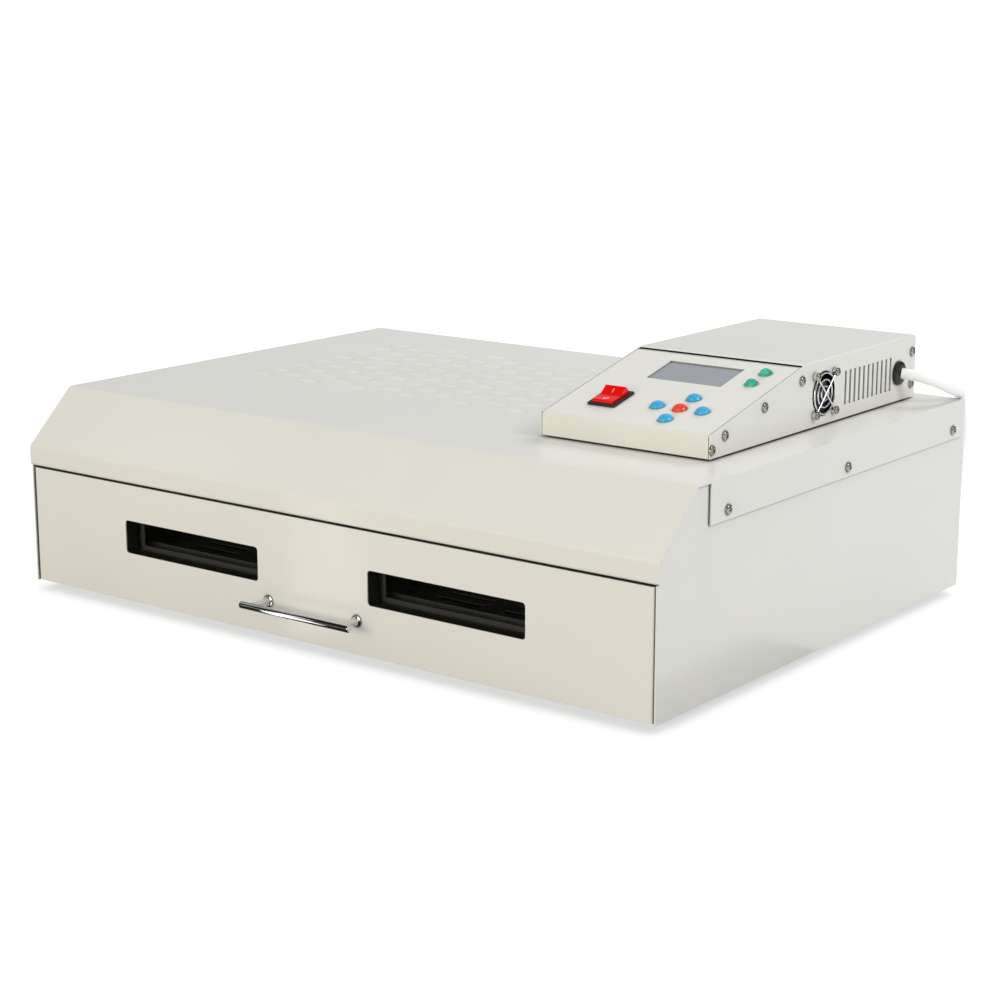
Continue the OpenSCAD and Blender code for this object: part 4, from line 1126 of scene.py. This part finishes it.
@dataclass
class MainsLead:
    """The mains lead: from its bushing over the rear edge, down the back, to a tied coil."""

    cord_d: float = 9.5
    length: float = 1.80
    route: list[Point] = field(default_factory=lambda: [
        (300, 430, 196), (311.5, 434, 195), (321, 440, 191.5), (328, 448.5, 187.5), (332, 459, 182),
        (333, 471, 178), (330.5, 483, 175.5), (326, 492, 173), (321.5, 501.5, 167.5),
        (318.5, 509.5, 159.5), (316.5, 515.5, 148), (317, 518, 135), (316.5, 516, 119),
        (316, 515.5, 100), (316, 515, 81), (315, 514.5, 64), (313.5, 514, 48.5), (311, 513.5, 33),
        (305, 512.5, 19), (294, 512.3, 6.5), (280, 512.3, -1), (264, 512.3, -3.2),
        (245, 512.3, -3.2), (226, 512.3, -3.2),
    ])
    tail: list[Point] = field(default_factory=lambda: [
        (184, 512.3, 6.3), (173, 512.3, 8.5), (162, 512.3, 10.5), (151, 512.3, 10.5),
    ])
    coil_at: Pair = (205.0, 576.8)
    outer_turn: float = 64.5
    layers_z: Pair = (-3.2, 6.3)
    points_per_turn: int = 36
    pinch: Pair = (1.6, 2.2)
    pinch_mm: float = 3.0
    climb: Pair = (1.7, 2.0)
    squeeze: float = 1.5
    tie_w: float = 4.0
    tie_t: float = 0.9
    tie_corner: float = 4.5

    def coil(self) -> list[Point]:
        """Winds two turns inwards on the bench and two outwards on top of them.

        Turns are counted along the cord. It is pinched where it climbs, and squeezed at the tie.

        Returns:
            The points of the four turns.
        """
        points = []
        x, y = self.coil_at
        low, high = self.layers_z
        for k in range(4 * self.points_per_turn + 1):
            t = k / self.points_per_turn
            r = self.outer_turn - self.cord_d * (t if t < 2 else 4 - t)
            start, end = self.pinch
            if start < t < end:
                r -= self.pinch_mm * math.sin(math.pi * (t - start) / (end - start)) ** 2
            start, end = self.climb
            up = min(1.0, max(0.0, (t - start) / (end - start)))
            z = low + (high - low) * up * up * (3 - 2 * up)
            a = -math.pi / 2 - math.tau * t
            r -= self.squeeze * max(0.0, math.sin(a)) ** 4
            points.append((x + r * math.cos(a), y + r * math.sin(a), z))
        return points

    def build(self) -> None:
        line = bpy.data.curves.new("mains_lead", "CURVE")
        line.dimensions = "3D"
        line.bevel_depth = self.cord_d / 2 * MM
        line.bevel_resolution = 5
        line.resolution_u = 4
        line.use_fill_caps = True
        spline = line.splines.new("NURBS")
        points = self.route + self.coil() + self.tail
        spline.points.add(len(points) - 1)
        for point, place in zip(spline.points, points):
            point.co = (*cab(*place), 1.0)
        spline.order_u = 4
        spline.use_endpoint_u = True
        line.materials.append(PVC.material())
        lead = into_scene("mains_lead", line)
        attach(lead, BODY_OF["cord"])
        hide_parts("cord", "cord_coil")
        bushing = refined("strain_relief", BUSHING_RUBBER, 0.3)
        plug = refined("cord_plug", PVC, 0.5)
        pins = refined("plug_pins", NICKEL, 0.2)
        self.tie()

    def tie(self) -> Object:
        """Makes the strap that holds the coil at its rear, with its head and its cut end.

        Returns:
            The tie.
        """
        low, high = self.layers_z
        z0, z1 = low - self.cord_d / 2 + 0.95, high + self.cord_d / 2 + 0.5
        corner, mid = self.tie_corner, self.tie_w / 2
        side = 1.5 * self.cord_d + 0.5 - corner
        outline = []
        for y, z, start in (
            (side, z0 + corner, -90), (side, z1 - corner, 0), (-side, z1 - corner, 90),
            (-side, z0 + corner, 180),
        ):
            outline += arc((y, z), (corner, corner), start, start + 90, 5)
        band = bmesh.new()
        ends = [band.verts.new((0.0, y * MM, z * MM)) for y, z in outline]
        loop = [band.edges.new(pair) for pair in zip(ends, ends[1:] + ends[:1])]
        wide = bmesh.ops.extrude_edge_only(band, edges=loop)
        far = [g for g in wide["geom"] if isinstance(g, BMVert)]
        bmesh.ops.translate(band, vec=(self.tie_w * MM, 0, 0), verts=far)
        bmesh.ops.recalc_face_normals(band, faces=band.faces)
        bmesh.ops.solidify(band, geom=band.faces[:], thickness=-self.tie_t * MM)
        bmesh.ops.recalc_face_normals(band, faces=band.faces)
        head = moved(block((6.4, 6.0, 4.2), 0.6, 2), shift(mid, 0, z1 + 1.6))
        end = block((self.tie_w, 14.0, self.tie_t), 0.25)
        moved(end, shift(mid, 8.0, z1 + 4.0) @ turn(24, "X"))
        middle = self.outer_turn - self.cord_d - self.squeeze
        place = cab(self.coil_at[0] - mid, self.coil_at[1] + middle, 0)
        strap = moved(merged([band, head, end]), Matrix.Translation(place))
        return piece("cord_tie", "fan_frame", BLACK_PLASTIC, strap)


@dataclass
class Studio:
    """The camera at the photograph's angle, the lamps, a pale floor, and cards for the chrome."""

    lens: float = 79.58
    camera_at: Point = (1.16775, -1.51175, 0.53518)
    pitch: float = 76.75
    yaw: float = 37.38
    look_at: Point = (0.0, 0.0, 0.08)
    dome: float = 0.7
    gloss_room: float = 0.4
    floor_share: float = 0.7
    # Floor glow where the oven is near and where it is free, and the reach of that painted shadow.
    floor_glow: Pair = (0.8, 1.3)
    painted_shadow_reach: float = 20.0
    strip_glow: float = 1.7

    def camera(self) -> None:
        """Makes the camera."""
        data = bpy.data.cameras.new("portrait")
        data.lens = self.lens
        data.sensor_width = 36.0
        data.clip_start = 0.05
        data.clip_end = 100.0
        made = into_scene("portrait", data)
        made.location = self.camera_at
        made.rotation_euler = (math.radians(self.pitch), 0.0, math.radians(self.yaw))
        bpy.context.scene.camera = made

    def softbox(
        self, name: str, at: Point, size: Pair, watts: float, tint: str, in_gloss: bool = True
    ) -> None:
        """Hangs one rectangular lamp that looks at the oven's middle.

        Args:
            name: The lamp's name.
            at: Its place, in metres.
            size: Its width and height.
            watts: Its power.
            tint: Its colour.
            in_gloss: Whether shiny pieces mirror it.
        """
        data = bpy.data.lights.new(name, "AREA")
        data.shape = "RECTANGLE"
        data.size, data.size_y = size
        data.energy = watts
        data.color = linear(tint)[:3]
        lamp = into_scene(name, data)
        lamp.location = at
        aim = Vector(self.look_at) - Vector(at)
        lamp.rotation_euler = aim.to_track_quat("-Z", "Y").to_euler()
        lamp.visible_glossy = in_gloss

    def surroundings(self) -> None:
        """Lights from all round: white to the camera and through glass, and grey in gloss."""
        world = bpy.data.worlds.new("pale_room")
        bpy.context.scene.world = world
        tree = blank_tree(world)
        rays = add(tree, "LightPath").outputs
        seen = any_of(tree, rays["Is Camera Ray"], rays["Is Transmission Ray"])
        room, gloss, white = (
            add(tree, "Background", {"Color": linear(colour), "Strength": glow})
            for colour, glow in (("#F4F6F8", self.dome), (WHITE, self.gloss_room), (WHITE, 1.0))
        )
        lit = add(tree, "MixShader", {
            0: rays["Is Glossy Ray"], 1: room.outputs["Background"], 2: gloss.outputs["Background"],
        })
        both = add(tree, "MixShader", {
            0: seen, 1: lit.outputs["Shader"], 2: white.outputs["Background"],
        })
        add(tree, "OutputWorld", {"Surface": both.outputs["Shader"]})

    def floor(self) -> None:
        """Lays a pale floor that turns white before the camera and keeps the oven's shadow: partly
        real, in its matt part, and partly painted, as a glow that dims near the oven.
        """
        paint = bpy.data.materials.new("studio_floor_paint")
        tree = blank_tree(paint)
        rays = add(tree, "LightPath").outputs
        kinds = ("Camera", "Glossy", "Transmission")
        seen = any_of(tree, *(rays[f"Is {kind} Ray"] for kind in kinds))
        matt = add(tree, "BsdfDiffuse", {"Color": linear("#D0D0D0")})
        low, high = self.floor_glow
        # Painted shadow: the glow dims where the oven is near.
        glow = add(tree, "Emission", {
            "Color": linear(WHITE),
            "Strength": openness(tree, self.painted_shadow_reach, 8, (0.0, low), (1.0, high)),
        })
        share = add(tree, "Math", {0: seen, 1: self.floor_share}, operation="MULTIPLY")
        both = add(tree, "MixShader", {
            0: share.outputs["Value"], 1: matt.outputs["BSDF"], 2: glow.outputs["Emission"],
        })
        add(tree, "OutputMaterial", {"Surface": both.outputs["Shader"]})
        bm = bmesh.new()
        bmesh.ops.create_grid(bm, x_segments=1, y_segments=1, size=30.0)
        made = mesh_object("studio_floor", bm, paint)
        made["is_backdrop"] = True

    def card(
        self, name: str, tone: str, at: Point, aim: Point | None, half: Pair,
        spin: float = 0.0, glow: float = 1.0,
    ) -> None:
        """Hangs one card that only gloss can see, so that chrome has something to mirror.

        Args:
            name: The card's name.
            tone: Its colour.
            at: Its place, in metres.
            aim: The point that it faces, or None to face up.
            half: Its half width and half height.
            spin: Its turn in its own plane, in degrees.
            glow: Its brightness.
        """
        paint = bpy.data.materials.new(f"{name}_paint")
        tree = blank_tree(paint)
        felt = add(tree, "Emission", {"Color": linear(tone), "Strength": glow})
        add(tree, "OutputMaterial", {"Surface": felt.outputs["Emission"]})
        bm = bmesh.new()
        bmesh.ops.create_grid(bm, x_segments=1, y_segments=1, size=1.0)
        facing = Vector(aim) - Vector(at) if aim else Vector((0, 0, 1))
        place = Matrix.Translation(at) @ facing.to_track_quat("Z", "Y").to_matrix().to_4x4()
        moved(bm, place @ turn(spin, "Z") @ Matrix.Diagonal((*half, 1, 1)))
        made = mesh_object(name, bm, paint)
        for ray in ("camera", "diffuse", "shadow", "transmission"):
            setattr(made, f"visible_{ray}", False)
        made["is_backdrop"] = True

    def cards(self) -> None:
        """Hangs dark flags and two bright strips round the oven, for its chrome to mirror."""
        dark, glow, middle = "#2C2A21", self.strip_glow, (0.0, 0.0, 0.1)
        self.card("flag_overhead", dark, (0.0, -0.4, 2.6), middle, (2.2, 1.6))
        self.card("flag_left", dark, (-2.4, -1.6, 0.9), middle, (0.5, 0.9))
        self.card("flag_right", dark, (2.6, -0.9, 0.8), middle, (0.35, 0.8))
        self.card("flag_rear", dark, (0.8, 2.6, 0.9), middle, (0.8, 0.6))
        self.card("flag_front", dark, (-1.08, -1.32, 0.78), (-1.08, -0.257, 0.037), (0.5, 0.82))
        self.card("flag_floor", dark, (-0.6, -0.7, 0.002), None, (1.0, 0.72))
        at, aim = (-0.984, -1.311, 0.45), (-0.003, -0.257, 0.45)
        self.card("strip_front", WHITE, at, aim, (0.043, 0.45), 0.0, glow)
        self.card("strip_floor", WHITE, (-0.5, -0.79, 0.004), None, (0.032, 0.7), -43.0, glow)

    def light(self) -> None:
        """Sets the room, the lamps, the floor and the flags, and the plain view transform."""
        bpy.context.scene.view_settings.view_transform = "Standard"
        self.surroundings()
        self.softbox("key_lamp", (-0.16, -4.5, 1.0), (2.9, 1.45), 86.0, "#FFF6E4")
        self.softbox("side_lamp", (2.6, 0.1, 2.25), (1.0, 1.0), 31.0, "#F9F9FF")
        self.softbox("top_lamp", (0.1, 2.2, 1.9), (1.6, 1.0), 47.0, "#F6F8FF", False)
        self.floor()
        self.cards()


def report(step: str, work: Callable[[], None]) -> None:
    """Runs one step of the build and logs the pieces that it made.

    Args:
        step: The step's name.
        work: The step.
    """
    before = {p.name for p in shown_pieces()}
    work()
    made = sorted(p.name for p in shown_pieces() if p.name not in before)
    LOG.info("%s: %s", step, ", ".join(made) or "no new piece")


def main() -> None:
    """Builds the scene in order: camera, cord, sub-assemblies, light."""
    logging.basicConfig(level=logging.INFO, format="%(message)s")
    studio = Studio()
    studio.camera()
    for assembly in (
        MainsLead(), Cabinet(), HeatingChamber(), Runners(), Drawer(), ControlBox(), Ventilation(),
    ):
        report(type(assembly).__name__, assembly.build)
    studio.light()
    bpy.context.view_layer.update()


if __name__ == "__main__":
    main()
